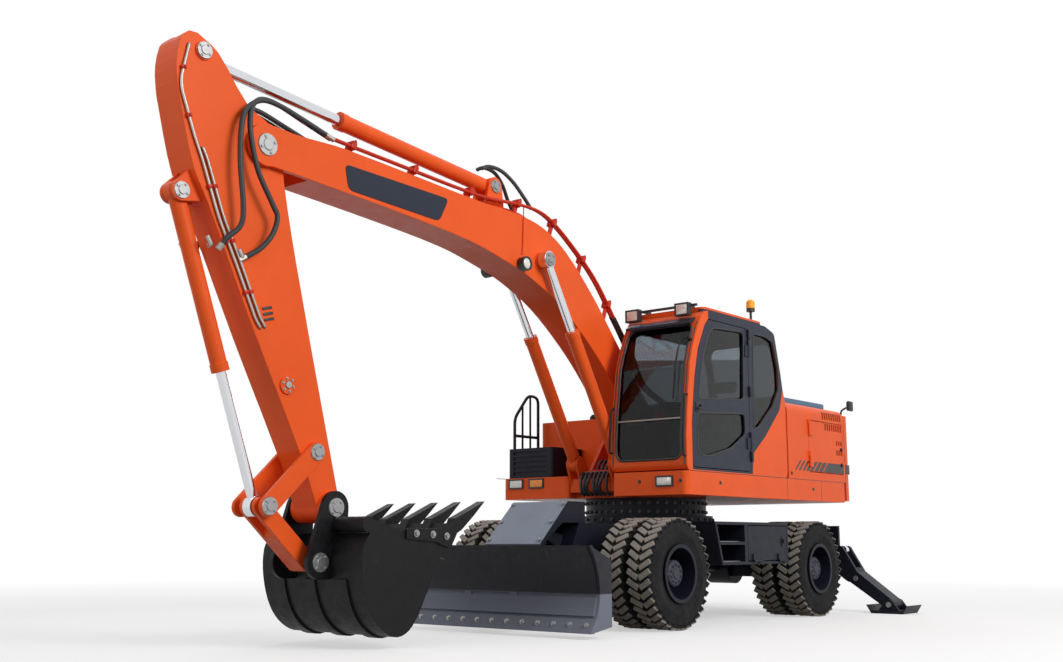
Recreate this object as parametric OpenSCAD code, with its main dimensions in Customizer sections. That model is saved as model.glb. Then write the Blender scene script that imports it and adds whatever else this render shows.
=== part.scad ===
// Wheeled excavator of the twenty tonne class, with front dozer blade and rear stabilisers.
// +X points forward, +Y to the left, +Z up. The origin is on the ground under the middle.

/* [Machine] */
// Distance from the middle of the machine back to the slew axis
slew_back = 1620; // [1500:5:1900]
// Height of the underside of the upper structure
house_z = 1270; // [1240:5:1320]
// Gap between faces that turn or slide on each other
fit_gap = 0.3; // [0.1:0.1:0.5]
// Gap round lids and doors
panel_gap = 8; // [5:1:15]

/* [Wheels] */
// Distance of the front axle ahead of the slew axis
front_axle_x = 1250; // [1200:10:1300]
// Distance between the axles
wheelbase = 2850; // [2750:10:2950]
// Radius of a tyre to its lug tips
tyre_r = 525; // [500:5:540]
// Width of one tyre
tyre_w = 275; // [250:5:285]
// Distance from the centreline to the outer tyre's middle
outer_tyre_y = 1112; // [1105:1:1125]
// Distance from the centreline to the inner tyre's middle
inner_tyre_y = 787; // [780:1:800]
// Radius of the tyre bead
bead_r = 254; // [240:1:265]
// Radius of the wheel spindles
spindle_r = 60; // [50:1:70]
// Distance from the centreline to the kingpins
kingpin_y = 560; // [550:2:570]

/* [Chassis] */
// Half width of the chassis beam
chassis_half_w = 345; // [320:5:350]
// Height of the chassis beam's underside
chassis_low_z = 730; // [725:5:760]
// Height of the chassis beam's top
chassis_top_z = 1000; // [980:5:1020]
// Radius of the slew ring
slew_ring_r = 650; // [600:10:680]
// Outer half width of the step boxes
step_half_w = 1200; // [1150:5:1240]

/* [Blade] */
// Width of the dozer blade
blade_w = 2494; // [2400:2:2550]
// Height of the mouldboard
blade_h = 740; // [700:5:780]
// Clearance of the cutting edge above the ground
blade_clear = 50; // [30:5:80]
// Distance of the blade's face ahead of the front axle
blade_ahead = 1330; // [1310:5:1380]
// Thickness of the mouldboard
blade_t = 36; // [25:1:50]

/* [Stabilisers] */
// Distance of the stabilisers behind the rear axle
stabiliser_back = 1170; // [1150:5:1200]
// Distance from the centreline to a leg's pivot
leg_pivot_y = 760; // [740:5:780]
// Height of a leg's pivot
leg_pivot_z = 680; // [670:5:700]
// Length of a leg from its pivot to the pad's pin
leg_len = 1000; // [960:5:1020]
// Angle of a lowered leg below level
leg_angle = 35.5; // [34:0.5:37]
// Width of a leg along the machine
leg_w = 240; // [220:5:250]
// Length of a pad across the machine
pad_len = 500; // [450:10:540]

/* [House] */
// Width of the upper structure
house_w = 2494; // [2400:2:2500]
// Radius of the tail
tail_r = 2750; // [2700:5:2800]
// Height of the deck
deck_h = 230; // [200:5:240]
// Height of the body's top above the ground
body_top_z = 2350; // [2300:5:2400]
// Distance of the body's front wall behind the slew axis
body_front_back = 940; // [930:5:1000]
// Distance of the counterweight's front face behind the slew axis
weight_front_back = 2330; // [2300:5:2350]
// Thickness of the body's walls and lids
wall = 40; // [25:1:50]

/* [Cab] */
// Distance of the cab's inner side from the centreline
cab_inner_y = 350; // [348:1:380]
// Length of the cab
cab_len = 2020; // [1960:10:2040]
// Distance of the cab's front ahead of the slew axis
cab_front_x = 1110; // [1090:5:1130]
// Height of the cab
cab_h = 1625; // [1580:5:1660]
// Thickness of the cab's walls and door
cab_wall = 50; // [40:1:60]
// Thickness of the panes
glass_t = 8; // [5:1:12]

/* [Boom] */
// Distance of the boom's foot pin ahead of the slew axis
boom_foot_x = 150; // [120:5:180]
// Height of the boom's foot pin
boom_foot_z = 1950; // [1930:5:1970]
// Length of the boom from pin to pin
boom_len = 5600; // [5500:10:5650]
// Angle of the boom's pin line above level
boom_angle = 20.2; // [18:0.1:22]
// Half width of the boom
boom_half_w = 190; // [185:1:195]
// Radius of the main pins
pin_r = 45; // [40:1:50]

/* [Arm] */
// Length of the arm from pin to pin
arm_len = 2900; // [2850:10:2920]
// Angle of the arm's pin line below level, turned past straight down
arm_angle = 105.4; // [104:0.1:107]
// Half width of the arm
arm_half_w = 140; // [135:1:145]

/* [Bucket] */
// Distance from the bucket's pin to the tooth tips
bucket_r = 1340; // [1300:10:1360]
// Width of the bucket
bucket_w = 1200; // [1100:10:1260]
// Thickness of the bucket's shell
bucket_t = 34; // [25:1:40]
// Number of teeth
teeth = 5; // [4:1:6]

/* [Cylinders] */
// Radius of a boom cylinder's barrel
boom_barrel_r = 66; // [60:1:68]
// Radius of a boom cylinder's rod
boom_rod_r = 42; // [38:1:45]
// Distance of a boom cylinder from the centreline
boom_cyl_y = 270; // [268:1:274]
// Radius of the arm cylinder's barrel
arm_barrel_r = 74; // [66:1:80]
// Radius of the arm cylinder's rod
arm_rod_r = 48; // [44:1:52]
// Radius of the bucket cylinder's barrel
bucket_barrel_r = 64; // [58:1:68]
// Radius of the bucket cylinder's rod
bucket_rod_r = 40; // [36:1:44]
// Radius of a small cylinder's barrel
small_barrel_r = 48; // [44:1:52]
// Radius of a small cylinder's rod
small_rod_r = 26; // [22:1:28]

/* [Hidden] */

$fn = 48;
// Length that a cut runs past the face it opens
overrun = 4;
rear_axle_x = front_axle_x - wheelbase;
axle_z = tyre_r;
house_half_w = house_w / 2;
deck_top_z = house_z + deck_h;
orange = [0.93, 0.33, 0.12];
dark = [0.17, 0.18, 0.21];
black = [0.08, 0.08, 0.09];
steel = [0.75, 0.76, 0.78];
slate = [0.28, 0.30, 0.36];
pane = [0.25, 0.3, 0.33, 0.5];

// Places the machine so that its slew axis stands behind the origin
module on_machine() {
  translate([-slew_back, 0, 0]) children();
}

// Extrudes an outline of X and Z across the machine, from y0 to y1
module slab(y0, y1) {
  translate([0, y1, 0]) rotate([90, 0, 0]) linear_extrude(y1 - y0) children();
}

// A round bar across the machine
module bar_y(x, z, r, y0, y1) {
  translate([x, y0, z]) rotate([-90, 0, 0]) cylinder(r = r, h = y1 - y0);
}

// A box given by its low and high corners
module block(low, high) {
  translate(low) cube(high - low);
}

// Both sides of the machine
module both_sides() {
  children();
  mirror([0, 1, 0]) children();
}

// Smooth curve through points: cubic spans that leave each point along the line of its neighbours
function heading(p, i) = let (d = p[min(i + 1, len(p) - 1)] - p[max(i - 1, 0)]) d / norm(d);
function span_at(a, b, u, v, t) =
  (2 * t ^ 3 - 3 * t ^ 2 + 1) * a + (t ^ 3 - 2 * t ^ 2 + t) * u
  + (3 * t ^ 2 - 2 * t ^ 3) * b + (t ^ 3 - t ^ 2) * v;
function smooth(p, steps = 5) = [
  for (i = [0 : len(p) - 2]) let (chord = norm(p[i + 1] - p[i]))
    for (k = [0 : steps - 1])
      span_at(p[i], p[i + 1], chord * heading(p, i), chord * heading(p, i + 1), k / steps),
  p[len(p) - 1]];
function reversed(p) = [for (i = [len(p) - 1 : -1 : 0]) p[i]];

// Wheels

tyre_section_shares = [[0, -0.36], [0.10, -0.42], [0.45, -0.5], [0.80, -0.46], [0.90, -0.38],
  [0.90, 0.38], [0.80, 0.46], [0.45, 0.5], [0.10, 0.42], [0, 0.36]];
// Chevron lugs in two rows, each row half a pitch on from the other
lugs = 18;
lug_w = 52;
lug_len = 132;
lug_turn = 32;
lug_y_share = 0.24;
lug_root_share = 0.83;
rim_r = bead_r - fit_gap;
rim_wall = 14;
rim_flange_h = 20;
rim_flange_share = 0.05;
rim_edge_share = 0.48;
disc_t = 26;
hub_r = 150;
hub_drum_r = 128;
hub_drum_h = 70;
hub_cap_r = 84;
hub_cap_h = 26;
hub_from_kingpin = 130;
hub_inner_y = kingpin_y + hub_from_kingpin;
disc_y = (outer_tyre_y + inner_tyre_y) / 2;
spindle_end_y = disc_y + disc_t;

module tyre_ring(y) {
  section = [for (s = tyre_section_shares) [bead_r + s[0] * (tyre_r - bead_r), s[1] * tyre_w]];
  translate([0, y, 0]) {
    rotate([-90, 0, 0]) rotate_extrude($fn = 72) polygon(section);
    for (side = [-1, 1])
      for (i = [0 : lugs - 1])
        rotate([0, (i + (side + 1) / 4) * 360 / lugs, 0]) lug(side);
  }
}

// One lug, from inside the carcass out to where its corners meet the tyre's radius
module lug(side) {
  reach = (lug_len * sin(lug_turn) + lug_w * cos(lug_turn)) / 2;
  root_r = bead_r + lug_root_share * (tyre_r - bead_r);
  tip_r = sqrt(tyre_r ^ 2 - reach ^ 2);
  translate([0, side * lug_y_share * tyre_w, 0]) rotate([0, 0, side * lug_turn])
    translate([-lug_w / 2, -lug_len / 2, root_r]) cube([lug_w, lug_len, tip_r - root_r]);
}

module tyre_pair() {
  tyre_ring(outer_tyre_y);
  tyre_ring(inner_tyre_y);
}

module ring_y(r_out, r_in, y0, y1) {
  translate([0, y0, 0]) rotate([-90, 0, 0]) difference() {
    cylinder(r = r_out, h = y1 - y0);
    translate([0, 0, -overrun]) cylinder(r = r_in, h = y1 - y0 + 2 * overrun);
  }
}

module rim_flange(y) {
  t = rim_flange_share * tyre_w;
  ring_y(rim_r + rim_flange_h, rim_r - rim_wall, y - t / 2, y + t / 2);
}

module wheel_pair() {
  edge = rim_edge_share * tyre_w;
  difference() {
    union() {
      ring_y(rim_r, rim_r - rim_wall, inner_tyre_y - edge, outer_tyre_y + edge);
      for (y = [inner_tyre_y, outer_tyre_y])
        for (side = [-1, 1])
          rim_flange(y + side * edge);
      bar_y(0, 0, rim_r - rim_wall / 2, disc_y - disc_t / 2, disc_y + disc_t / 2);
      bar_y(0, 0, hub_r, hub_inner_y, disc_y + disc_t);
      bar_y(0, 0, hub_drum_r, disc_y, disc_y + disc_t + hub_drum_h);
      bar_y(0, 0, hub_cap_r, disc_y, disc_y + disc_t + hub_drum_h + hub_cap_h);
    }
    bar_y(0, 0, spindle_r + fit_gap, hub_inner_y - overrun, spindle_end_y + fit_gap);
  }
}

module wheel_place(x, side) {
  translate([x, 0, axle_z]) mirror([0, side < 0 ? 1 : 0, 0]) children();
}

module wheel_front_left() { color(dark) on_machine() wheel_place(front_axle_x, 1) wheel_pair(); }
module wheel_front_right() { color(dark) on_machine() wheel_place(front_axle_x, -1) wheel_pair(); }
module wheel_rear_left() { color(dark) on_machine() wheel_place(rear_axle_x, 1) wheel_pair(); }
module wheel_rear_right() { color(dark) on_machine() wheel_place(rear_axle_x, -1) wheel_pair(); }
module tyres_front_left() { color(black) on_machine() wheel_place(front_axle_x, 1) tyre_pair(); }
module tyres_front_right() { color(black) on_machine() wheel_place(front_axle_x, -1) tyre_pair(); }
module tyres_rear_left() { color(black) on_machine() wheel_place(rear_axle_x, 1) tyre_pair(); }
module tyres_rear_right() { color(black) on_machine() wheel_place(rear_axle_x, -1) tyre_pair(); }

// Axles and knuckles

axle_half_h = 100;
axle_half_w = 110;
axle_end_gap = 130;
axle_end_y = kingpin_y - axle_end_gap;
kingpin_r = 38;
knuckle_r = 78;
knuckle_half_h = 120;
ear_gap = 5;
ear_t = 42;
diff_r = 185;
diff_half_w = 160;
saddle_y = 230;
saddle_half_w = 70;
steer_arm_len = 210;
steer_arm_t = 40;
steer_arm_half_w = 45;
rear_hub_gap = 6;

module saddles() {
  both_sides() block([-axle_half_w, saddle_y - saddle_half_w, axle_half_h - overrun],
    [axle_half_w, saddle_y + saddle_half_w, chassis_low_z - axle_z]);
}

module differential() {
  bar_y(0, 0, diff_r, -diff_half_w, diff_half_w);
}

module kingpin_ear(z) {
  translate([0, 0, z]) linear_extrude(ear_t) hull() {
    translate([0, kingpin_y]) circle(r = knuckle_r);
    translate([0, axle_end_y - knuckle_r]) square([2 * axle_half_w, knuckle_r], center = true);
  }
}

module front_axle() {
  color(dark) on_machine() translate([front_axle_x, 0, axle_z]) difference() {
    union() {
      block([-axle_half_w, -axle_end_y, -axle_half_h], [axle_half_w, axle_end_y, axle_half_h]);
      differential();
      saddles();
      both_sides() {
        kingpin_ear(knuckle_half_h + ear_gap);
        kingpin_ear(-knuckle_half_h - ear_gap - ear_t);
        ear_web();
      }
    }
    both_sides() translate([0, kingpin_y, -axle_half_h - 2 * knuckle_half_h])
      cylinder(r = kingpin_r + fit_gap, h = 2 * axle_half_h + 4 * knuckle_half_h);
  }
}

// Upright that joins the kingpin ears to the axle beam
module ear_web() {
  top = knuckle_half_h + ear_gap + ear_t;
  block([-axle_half_w, axle_end_y - 2 * knuckle_r, -top], [axle_half_w, axle_end_y - knuckle_r / 2, top]);
}

module knuckle() {
  pin_half = knuckle_half_h + ear_gap + ear_t;
  translate([front_axle_x, 0, axle_z]) {
    translate([0, kingpin_y, -pin_half]) cylinder(r = kingpin_r, h = 2 * pin_half);
    translate([0, kingpin_y, -knuckle_half_h]) cylinder(r = knuckle_r - overrun, h = 2 * knuckle_half_h);
    bar_y(0, 0, spindle_r, kingpin_y, spindle_end_y);
    translate([0, kingpin_y, -steer_arm_t / 2])
      block([-steer_arm_len, -steer_arm_half_w, 0], [0, steer_arm_half_w, steer_arm_t]);
  }
}

module knuckle_left() { color(dark) on_machine() knuckle(); }
module knuckle_right() { color(dark) on_machine() mirror([0, 1, 0]) knuckle(); }

module rear_axle() {
  color(dark) on_machine() translate([rear_axle_x, 0, axle_z]) {
    block([-axle_half_w, -hub_inner_y + rear_hub_gap, -axle_half_h],
      [axle_half_w, hub_inner_y - rear_hub_gap, axle_half_h]);
    differential();
    saddles();
    bar_y(0, 0, spindle_r, -spindle_end_y, spindle_end_y);
  }
}

gearbox_half_len = 330;
gearbox_half_w = 230;
gearbox_low_z = 400;
shaft_r = 45;

module driveline() {
  color(dark) on_machine() {
    block([-gearbox_half_len, -gearbox_half_w, gearbox_low_z],
      [gearbox_half_len, gearbox_half_w, chassis_low_z]);
    shaft_len = front_axle_x - gearbox_half_len - diff_r;
    translate([gearbox_half_len, 0, axle_z]) rotate([0, 90, 0]) cylinder(r = shaft_r, h = shaft_len);
    rear_shaft_len = -rear_axle_x - gearbox_half_len - diff_r;
    translate([-gearbox_half_len - rear_shaft_len, 0, axle_z]) rotate([0, 90, 0])
      cylinder(r = shaft_r, h = rear_shaft_len);
  }
}

// Chassis

blade_pivot_ahead = 650;
blade_pivot_x = front_axle_x + blade_pivot_ahead;
blade_pivot_z = 560;
blade_pin_r = 40;
blade_arm_y = 240;
blade_arm_t = 80;
chassis_front_x = blade_pivot_x;
nose_back = 260;
nose_gap = 8;
nose_half_w = blade_arm_y - nose_gap;
nose_round = 75;
turret_r = 720;
turret_top_z = 1090;
stabiliser_x = rear_axle_x - stabiliser_back;
leg_gap = 6;
rear_box_t = 40;
rear_box_low_z = 560;
rear_box_top_z = 1010;
rear_box_ahead = 330;
rear_box_front_x = stabiliser_x + rear_box_ahead;
rear_box_margin = 90;
rear_box_half_w = leg_pivot_y + rear_box_margin;
leg_slot_y = 130;
leg_pin_r = 36;
stab_base_y = 200;
stab_base_z = 900;
tie_eye_r = 26;
tie_plate_t = 30;
tie_plate_r = 62;
tie_back = 680;
tie_x = rear_axle_x - tie_back;
tie_drop = 50;
tie_z = chassis_low_z - tie_drop;
blade_base_back = 20;
blade_base_x = blade_pivot_x - blade_base_back;
blade_base_z = 870;
blade_cyl_y = 120;
small_eye_r = 52;
small_eye_half_w = 34;
small_pin_r = 22;
lug_t = 22;

// Box across the chassis beam's rear end, slotted for the legs
module slotted_box() {
  half_slot = leg_w / 2 + leg_gap;
  difference() {
    block([stabiliser_x - half_slot - rear_box_t, -rear_box_half_w, rear_box_low_z],
      [rear_box_front_x, rear_box_half_w, rear_box_top_z]);
    both_sides() block([stabiliser_x - half_slot, leg_slot_y, rear_box_low_z - overrun],
      [stabiliser_x + half_slot, rear_box_half_w + overrun, rear_box_top_z + overrun]);
  }
}

// Pins across the slot that carry the legs and their cylinders
module leg_pins() {
  half_slot = leg_w / 2 + leg_gap + rear_box_t / 2;
  both_sides() {
    translate([stabiliser_x - half_slot, leg_pivot_y, leg_pivot_z]) rotate([0, 90, 0])
      cylinder(r = leg_pin_r, h = 2 * half_slot);
    translate([stabiliser_x - half_slot, stab_base_y, stab_base_z]) rotate([0, 90, 0])
      cylinder(r = small_pin_r, h = 2 * half_slot);
  }
}

module stabiliser_box() {
  color(dark) on_machine() {
    slotted_box();
    leg_pins();
  }
}

// Lugs and pins at the nose for the blade arms and blade cylinders
module blade_lugs() {
  slab(-nose_half_w, nose_half_w) difference() {
    polygon([[chassis_front_x - nose_back, chassis_low_z + overrun],
      [chassis_front_x - nose_back, blade_pivot_z - nose_round / 2],
      [blade_pivot_x, blade_pivot_z - nose_round], [blade_pivot_x + nose_round, blade_pivot_z],
      [blade_pivot_x + nose_round / 2, chassis_low_z + overrun]]);
  }
  bar_y(blade_pivot_x, blade_pivot_z, blade_pin_r, -blade_arm_y - blade_arm_t, blade_arm_y + blade_arm_t);
  both_sides() {
    for (side = [-1, 1])
      slab(blade_cyl_y + side * (small_eye_half_w + leg_gap + lug_t / 2) - lug_t / 2,
        blade_cyl_y + side * (small_eye_half_w + leg_gap + lug_t / 2) + lug_t / 2)
        hull() {
          translate([blade_base_x, blade_base_z]) circle(r = small_eye_r);
          translate([chassis_front_x - nose_back, chassis_low_z])
            square([small_eye_r, blade_base_z - chassis_low_z]);
        }
    bar_y(blade_base_x, blade_base_z, small_pin_r, blade_cyl_y - small_eye_half_w - leg_gap - lug_t,
      blade_cyl_y + small_eye_half_w + leg_gap + lug_t);
  }
}

// Eye plates where chains tie the machine down
module tie_down_eyes() {
  both_sides() slab(chassis_half_w - tie_plate_t, chassis_half_w) difference() {
    union() {
      translate([tie_x, tie_z]) circle(r = tie_plate_r);
      translate([tie_x - tie_plate_r, tie_z]) square([2 * tie_plate_r, chassis_low_z - tie_z + overrun]);
    }
    translate([tie_x, tie_z]) circle(r = tie_eye_r);
  }
}

module chassis_frame() {
  color(dark) on_machine() {
    nose_top_x = chassis_front_x - nose_back;
    slab(-chassis_half_w, chassis_half_w) polygon([[rear_box_front_x, chassis_low_z],
      [chassis_front_x - nose_back / 2, chassis_low_z], [nose_top_x, chassis_top_z],
      [rear_box_front_x, chassis_top_z]]);
    translate([0, 0, chassis_top_z - overrun])
      cylinder(r = turret_r, h = turret_top_z - chassis_top_z + overrun);
    blade_lugs();
    tie_down_eyes();
  }
}

slew_ring_wall = 130;

module slew_ring() {
  color(dark) on_machine() difference() {
    translate([0, 0, turret_top_z]) cylinder(r = slew_ring_r, h = house_z - fit_gap - turret_top_z, $fn = 96);
    translate([0, 0, turret_top_z - overrun]) cylinder(r = slew_ring_r - slew_ring_wall, h = house_z, $fn = 96);
  }
}

// Sloped cover over the blade cylinders at the front

cover_half_w = chassis_half_w;
cover_back_ahead = 300;
cover_back_x = front_axle_x + cover_back_ahead;
cover_top_ahead = 570;
cover_top_x = front_axle_x + cover_top_ahead;
cover_top_z = 1205;
cover_low_ahead = 990;
cover_low_x = front_axle_x + cover_low_ahead;
cover_low_z = 800;
cover_t = 16;

module cover_outline() {
  polygon([[cover_back_x, chassis_top_z], [cover_back_x, cover_top_z], [cover_top_x, cover_top_z],
    [cover_low_x, cover_low_z], [cover_low_x - cover_t, cover_low_z - 1.5 * cover_t],
    [chassis_front_x, chassis_top_z]]);
}

module front_cover() {
  color([0.5, 0.54, 0.6]) on_machine() difference() {
    slab(-cover_half_w, cover_half_w) cover_outline();
    slab(-cover_half_w + cover_t, cover_half_w - cover_t) translate([0, -cover_t]) intersection() {
      offset(delta = -cover_t) translate([0, cover_t]) cover_outline();
      translate([cover_back_x, 0]) square([cover_low_x, cover_top_z]);
    }
    block([cover_back_x + cover_t, -cover_half_w + cover_t, chassis_top_z - 4 * cover_t],
      [cover_top_x, cover_half_w - cover_t, cover_top_z - cover_t]);
  }
}

// Step boxes between the wheels

step_low_z = 590;
step_top_z = 1020;
step_low_back = 830;
step_front_low_x = front_axle_x - step_low_back;
step_top_back = 700;
step_front_top_x = front_axle_x - step_top_back;
step_split_x = -60;
step_ahead = 650;
step_rear_x = rear_axle_x + step_ahead;
step_wall = 30;
step_tread_z = (step_low_z + step_top_z) / 2;
step_depth = 320;
lid_t = 30;

module step_outline() {
  polygon([[step_rear_x, step_low_z], [step_front_low_x, step_low_z], [step_front_top_x, step_top_z],
    [step_rear_x, step_top_z]]);
}

module step_openings() {
  slab(step_half_w - step_depth, step_half_w + overrun) intersection() {
    offset(delta = -step_wall) step_outline();
    union() for (low = [step_low_z, step_tread_z - step_wall / 2])
      translate([step_split_x + step_wall, low + step_wall])
        square([front_axle_x, (step_top_z - step_low_z) / 2 - 1.5 * step_wall]);
  }
}

module lid_outline() {
  translate([step_rear_x + step_wall, step_low_z + step_wall])
    square([step_split_x - step_rear_x - 2 * step_wall, step_top_z - step_low_z - 2 * step_wall]);
}

// A box between the wheels from x0 to x1, with room for the turret
module side_box(x0, x1) {
  difference() {
    slab(chassis_half_w, step_half_w) intersection() {
      step_outline();
      translate([x0, 0]) square([x1 - x0, chassis_top_z + step_top_z]);
    }
    translate([0, 0, chassis_top_z - 2 * overrun]) cylinder(r = turret_r + fit_gap, h = turret_top_z);
  }
}

module step_box_left() {
  color(dark) on_machine() difference() {
    side_box(step_split_x, front_axle_x);
    step_openings();
  }
}

module step_box_right() {
  color(dark) on_machine() mirror([0, 1, 0]) difference() {
    side_box(step_rear_x, front_axle_x);
    step_openings();
  }
}

module toolbox() {
  color(dark) on_machine() {
    difference() {
      side_box(step_rear_x, step_split_x);
      slab(step_half_w - step_depth, step_half_w + overrun) lid_outline();
    }
    at_lid_hinges() hinge_seat();
  }
}

module at_lid_hinges() {
  for (share = hinge_shares)
    translate([step_rear_x + share * (step_split_x - step_rear_x), step_half_w,
      step_low_z + step_wall + panel_gap / 2]) rotate([0, -90, 0]) children();
}

module toolbox_lid() {
  color(dark) on_machine() {
    slab(step_half_w - lid_t, step_half_w) offset(delta = -panel_gap) lid_outline();
    at_lid_hinges() hinge_leaf();
  }
}

// Dozer blade

blade_x = front_axle_x + blade_ahead;
blade_face_shares = [[0.10, 0], [0.0, 0.16], [-0.06, 0.36], [-0.06, 0.58], [0.0, 0.8], [0.12, 1]];
blade_end_t = 30;
edge_t = 13;
blade_end_back_shares = [[-0.30, 0.06], [-0.30, 0.83]];
blade_rod_ahead = 480;
blade_rod_x = blade_pivot_x + blade_rod_ahead;
blade_rod_z = 420;

function blade_face() = [for (s = blade_face_shares)
  [blade_x + s[0] * blade_h, blade_clear + s[1] * blade_h]];

module mouldboard_outline() {
  front = smooth(blade_face(), 4);
  polygon(concat(front, reversed([for (p = front) p - [blade_t, 0]])));
}

// Hardened edge along the foot of the mouldboard
module cutting_edge_outline() {
  foot = smooth(blade_face(), 4);
  low = [for (i = [0 : 4]) foot[i]];
  polygon(concat([for (p = low) p + [edge_t, 0]], reversed(low)));
}

module blade_end_outline() {
  back = [for (s = blade_end_back_shares) [blade_x + s[0] * blade_h, blade_clear + s[1] * blade_h]];
  polygon(concat(smooth(blade_face(), 4), reversed(back)));
}

module blade_arm_outline() {
  polygon([[blade_pivot_x - blade_pin_r, blade_pivot_z - 2 * blade_pin_r],
    [blade_x - 6 * blade_t, blade_clear + 0.2 * blade_h], [blade_x - blade_t, blade_clear + 0.2 * blade_h],
    [blade_x - blade_t, blade_clear + 0.6 * blade_h], [blade_pivot_x, blade_pivot_z + 2 * blade_pin_r],
    [blade_pivot_x - 2 * blade_pin_r, blade_pivot_z]]);
}

module blade() {
  color(slate) on_machine() {
    slab(-blade_w / 2, blade_w / 2) mouldboard_outline();
    slab(-blade_w / 2, blade_w / 2) cutting_edge_outline();
    both_sides() {
      slab(blade_w / 2 - blade_end_t, blade_w / 2) blade_end_outline();
      difference() {
        slab(blade_arm_y, blade_arm_y + blade_arm_t) blade_arm_outline();
        bar_y(blade_pivot_x, blade_pivot_z, blade_pin_r + fit_gap, blade_arm_y - overrun,
          blade_arm_y + blade_arm_t + overrun);
      }
      for (side = [-1, 1])
        slab(blade_cyl_y + side * (small_eye_half_w + leg_gap + lug_t / 2) - lug_t / 2,
          blade_cyl_y + side * (small_eye_half_w + leg_gap + lug_t / 2) + lug_t / 2) hull() {
          translate([blade_rod_x, blade_rod_z]) circle(r = small_eye_r);
          translate([blade_x - 2 * blade_t, blade_rod_z - small_eye_r]) square([blade_t, 3 * small_eye_r]);
        }
    }
  }
}

// Cylinders: a barrel with a hollow, a gland and an eye, and a rod with an eye

barrel_wall = 12;
gland_len_share = 1.0;

// Barrel along +X from its base pin, and the rod along +X with its eye at the far end
module barrel(len, r, rod_r, eye_r, eye_half_w, eye_pin_r) {
  difference() {
    union() {
      rotate([0, 90, 0]) cylinder(r = r, h = len);
      translate([len - gland_len_share * r, 0, 0]) rotate([0, 90, 0])
        cylinder(r = r + barrel_wall / 2, h = gland_len_share * r);
      bar_y(0, 0, eye_r, -eye_half_w, eye_half_w);
    }
    translate([eye_r, 0, 0]) rotate([0, 90, 0]) cylinder(r = rod_r + fit_gap, h = len);
    bar_y(0, 0, eye_pin_r + fit_gap, -r - eye_half_w, r + eye_half_w);
    for (side = [-1, 1])
      translate([-eye_r - overrun, side * (eye_half_w + r) - r, -r - overrun])
        cube([2 * eye_r + 5 * overrun, 2 * r, 2 * (r + overrun)]);
  }
}

module rod(len, r, eye_r, eye_half_w, eye_bore_r) {
  difference() {
    union() {
      translate([-len, 0, 0]) rotate([0, 90, 0]) cylinder(r = r, h = len);
      bar_y(0, 0, eye_r, -eye_half_w, eye_half_w);
    }
    bar_y(0, 0, eye_bore_r, -eye_half_w - overrun, eye_half_w + overrun);
  }
}

// Turns +X onto the line from point a to point b of X and Z
module along(a, b) {
  d = b - a;
  translate([a[0], 0, a[1]]) rotate([0, -atan2(d[1], d[0]), 0]) children();
}

blade_barrel_len = 430;
blade_rod_len = 330;

module blade_barrels() {
  color(steel) on_machine() both_sides() translate([0, blade_cyl_y, 0])
    along([blade_base_x, blade_base_z], [blade_rod_x, blade_rod_z])
      barrel(blade_barrel_len, small_barrel_r, small_rod_r, small_eye_r, small_eye_half_w, small_pin_r);
}

module blade_rods() {
  color(steel) on_machine() both_sides() translate([0, blade_cyl_y, 0])
    along([blade_base_x, blade_base_z], [blade_rod_x, blade_rod_z])
      translate([norm([blade_rod_x - blade_base_x, blade_rod_z - blade_base_z]), 0, 0])
        rod(blade_rod_len, small_rod_r, small_eye_r, small_eye_half_w, small_pin_r);
}

// Stabilisers, each swinging across the machine about a pin along it

leg_ear_r = 220;
leg_ear_angle = 10;
leg_cheek_t = 42;
leg_root_h = 90;
leg_end_h = 62;
pad_t = 36;
pad_w = 420;
pad_lip_share = 0.12;
pad_pin_z = leg_pivot_z - leg_len * sin(leg_angle);
pad_pin_y = leg_pivot_y + leg_len * cos(leg_angle);
leg_box_share = 0.42;
stab_barrel_len = 410;
stab_rod_len = 420;
leg_ear = [leg_pivot_y + leg_ear_r * cos(leg_ear_angle), leg_pivot_z + leg_ear_r * sin(leg_ear_angle)];

// Extrudes an outline of Y and Z along the machine about a middle x
module slab_x(x, w) {
  translate([x - w / 2, 0, 0]) rotate([90, 0, 90]) linear_extrude(w) children();
}

module leg_outline() {
  hull() {
    translate([leg_pivot_y, leg_pivot_z]) circle(r = leg_root_h);
    translate([pad_pin_y, pad_pin_z]) circle(r = leg_end_h);
  }
  hull() {
    translate([leg_pivot_y, leg_pivot_z]) circle(r = leg_root_h);
    translate(leg_ear) circle(r = small_eye_r);
    translate([leg_pivot_y, leg_pivot_z] + [cos(leg_angle), -sin(leg_angle)] * leg_len * leg_box_share)
      circle(r = leg_root_h);
  }
}

module stabiliser() {
  difference() {
    slab_x(stabiliser_x, leg_w) leg_outline();
    slab_x(stabiliser_x, leg_w - 2 * leg_cheek_t) translate([leg_pivot_y, leg_pivot_z]) rotate(-leg_angle)
      translate([-leg_len, -leg_len / 2]) square([leg_len * (1 + leg_box_share), leg_len]);
    translate([stabiliser_x - leg_w, leg_pivot_y, leg_pivot_z]) rotate([0, 90, 0])
      cylinder(r = leg_pin_r + fit_gap, h = 2 * leg_w);
  }
  slab_x(stabiliser_x, pad_w) polygon([[pad_pin_y - pad_len / 2, pad_t + pad_lip_share * pad_len],
    [pad_pin_y - pad_len / 2 + pad_lip_share * pad_len, 0],
    [pad_pin_y + pad_len / 2 - pad_lip_share * pad_len, 0],
    [pad_pin_y + pad_len / 2, pad_t + pad_lip_share * pad_len],
    [pad_pin_y + pad_len / 2 - pad_lip_share * pad_len, pad_t],
    [pad_pin_y - pad_len / 2 + pad_lip_share * pad_len, pad_t]]);
  for (side = [-1, 1])
    slab_x(stabiliser_x + side * (leg_w / 2 + lug_t / 2 + leg_gap / 2), lug_t + leg_gap) hull() {
      translate([pad_pin_y, pad_pin_z]) circle(r = leg_end_h);
      translate([pad_pin_y - 2 * leg_end_h, pad_t - overrun]) square([4 * leg_end_h, overrun]);
    }
}

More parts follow.
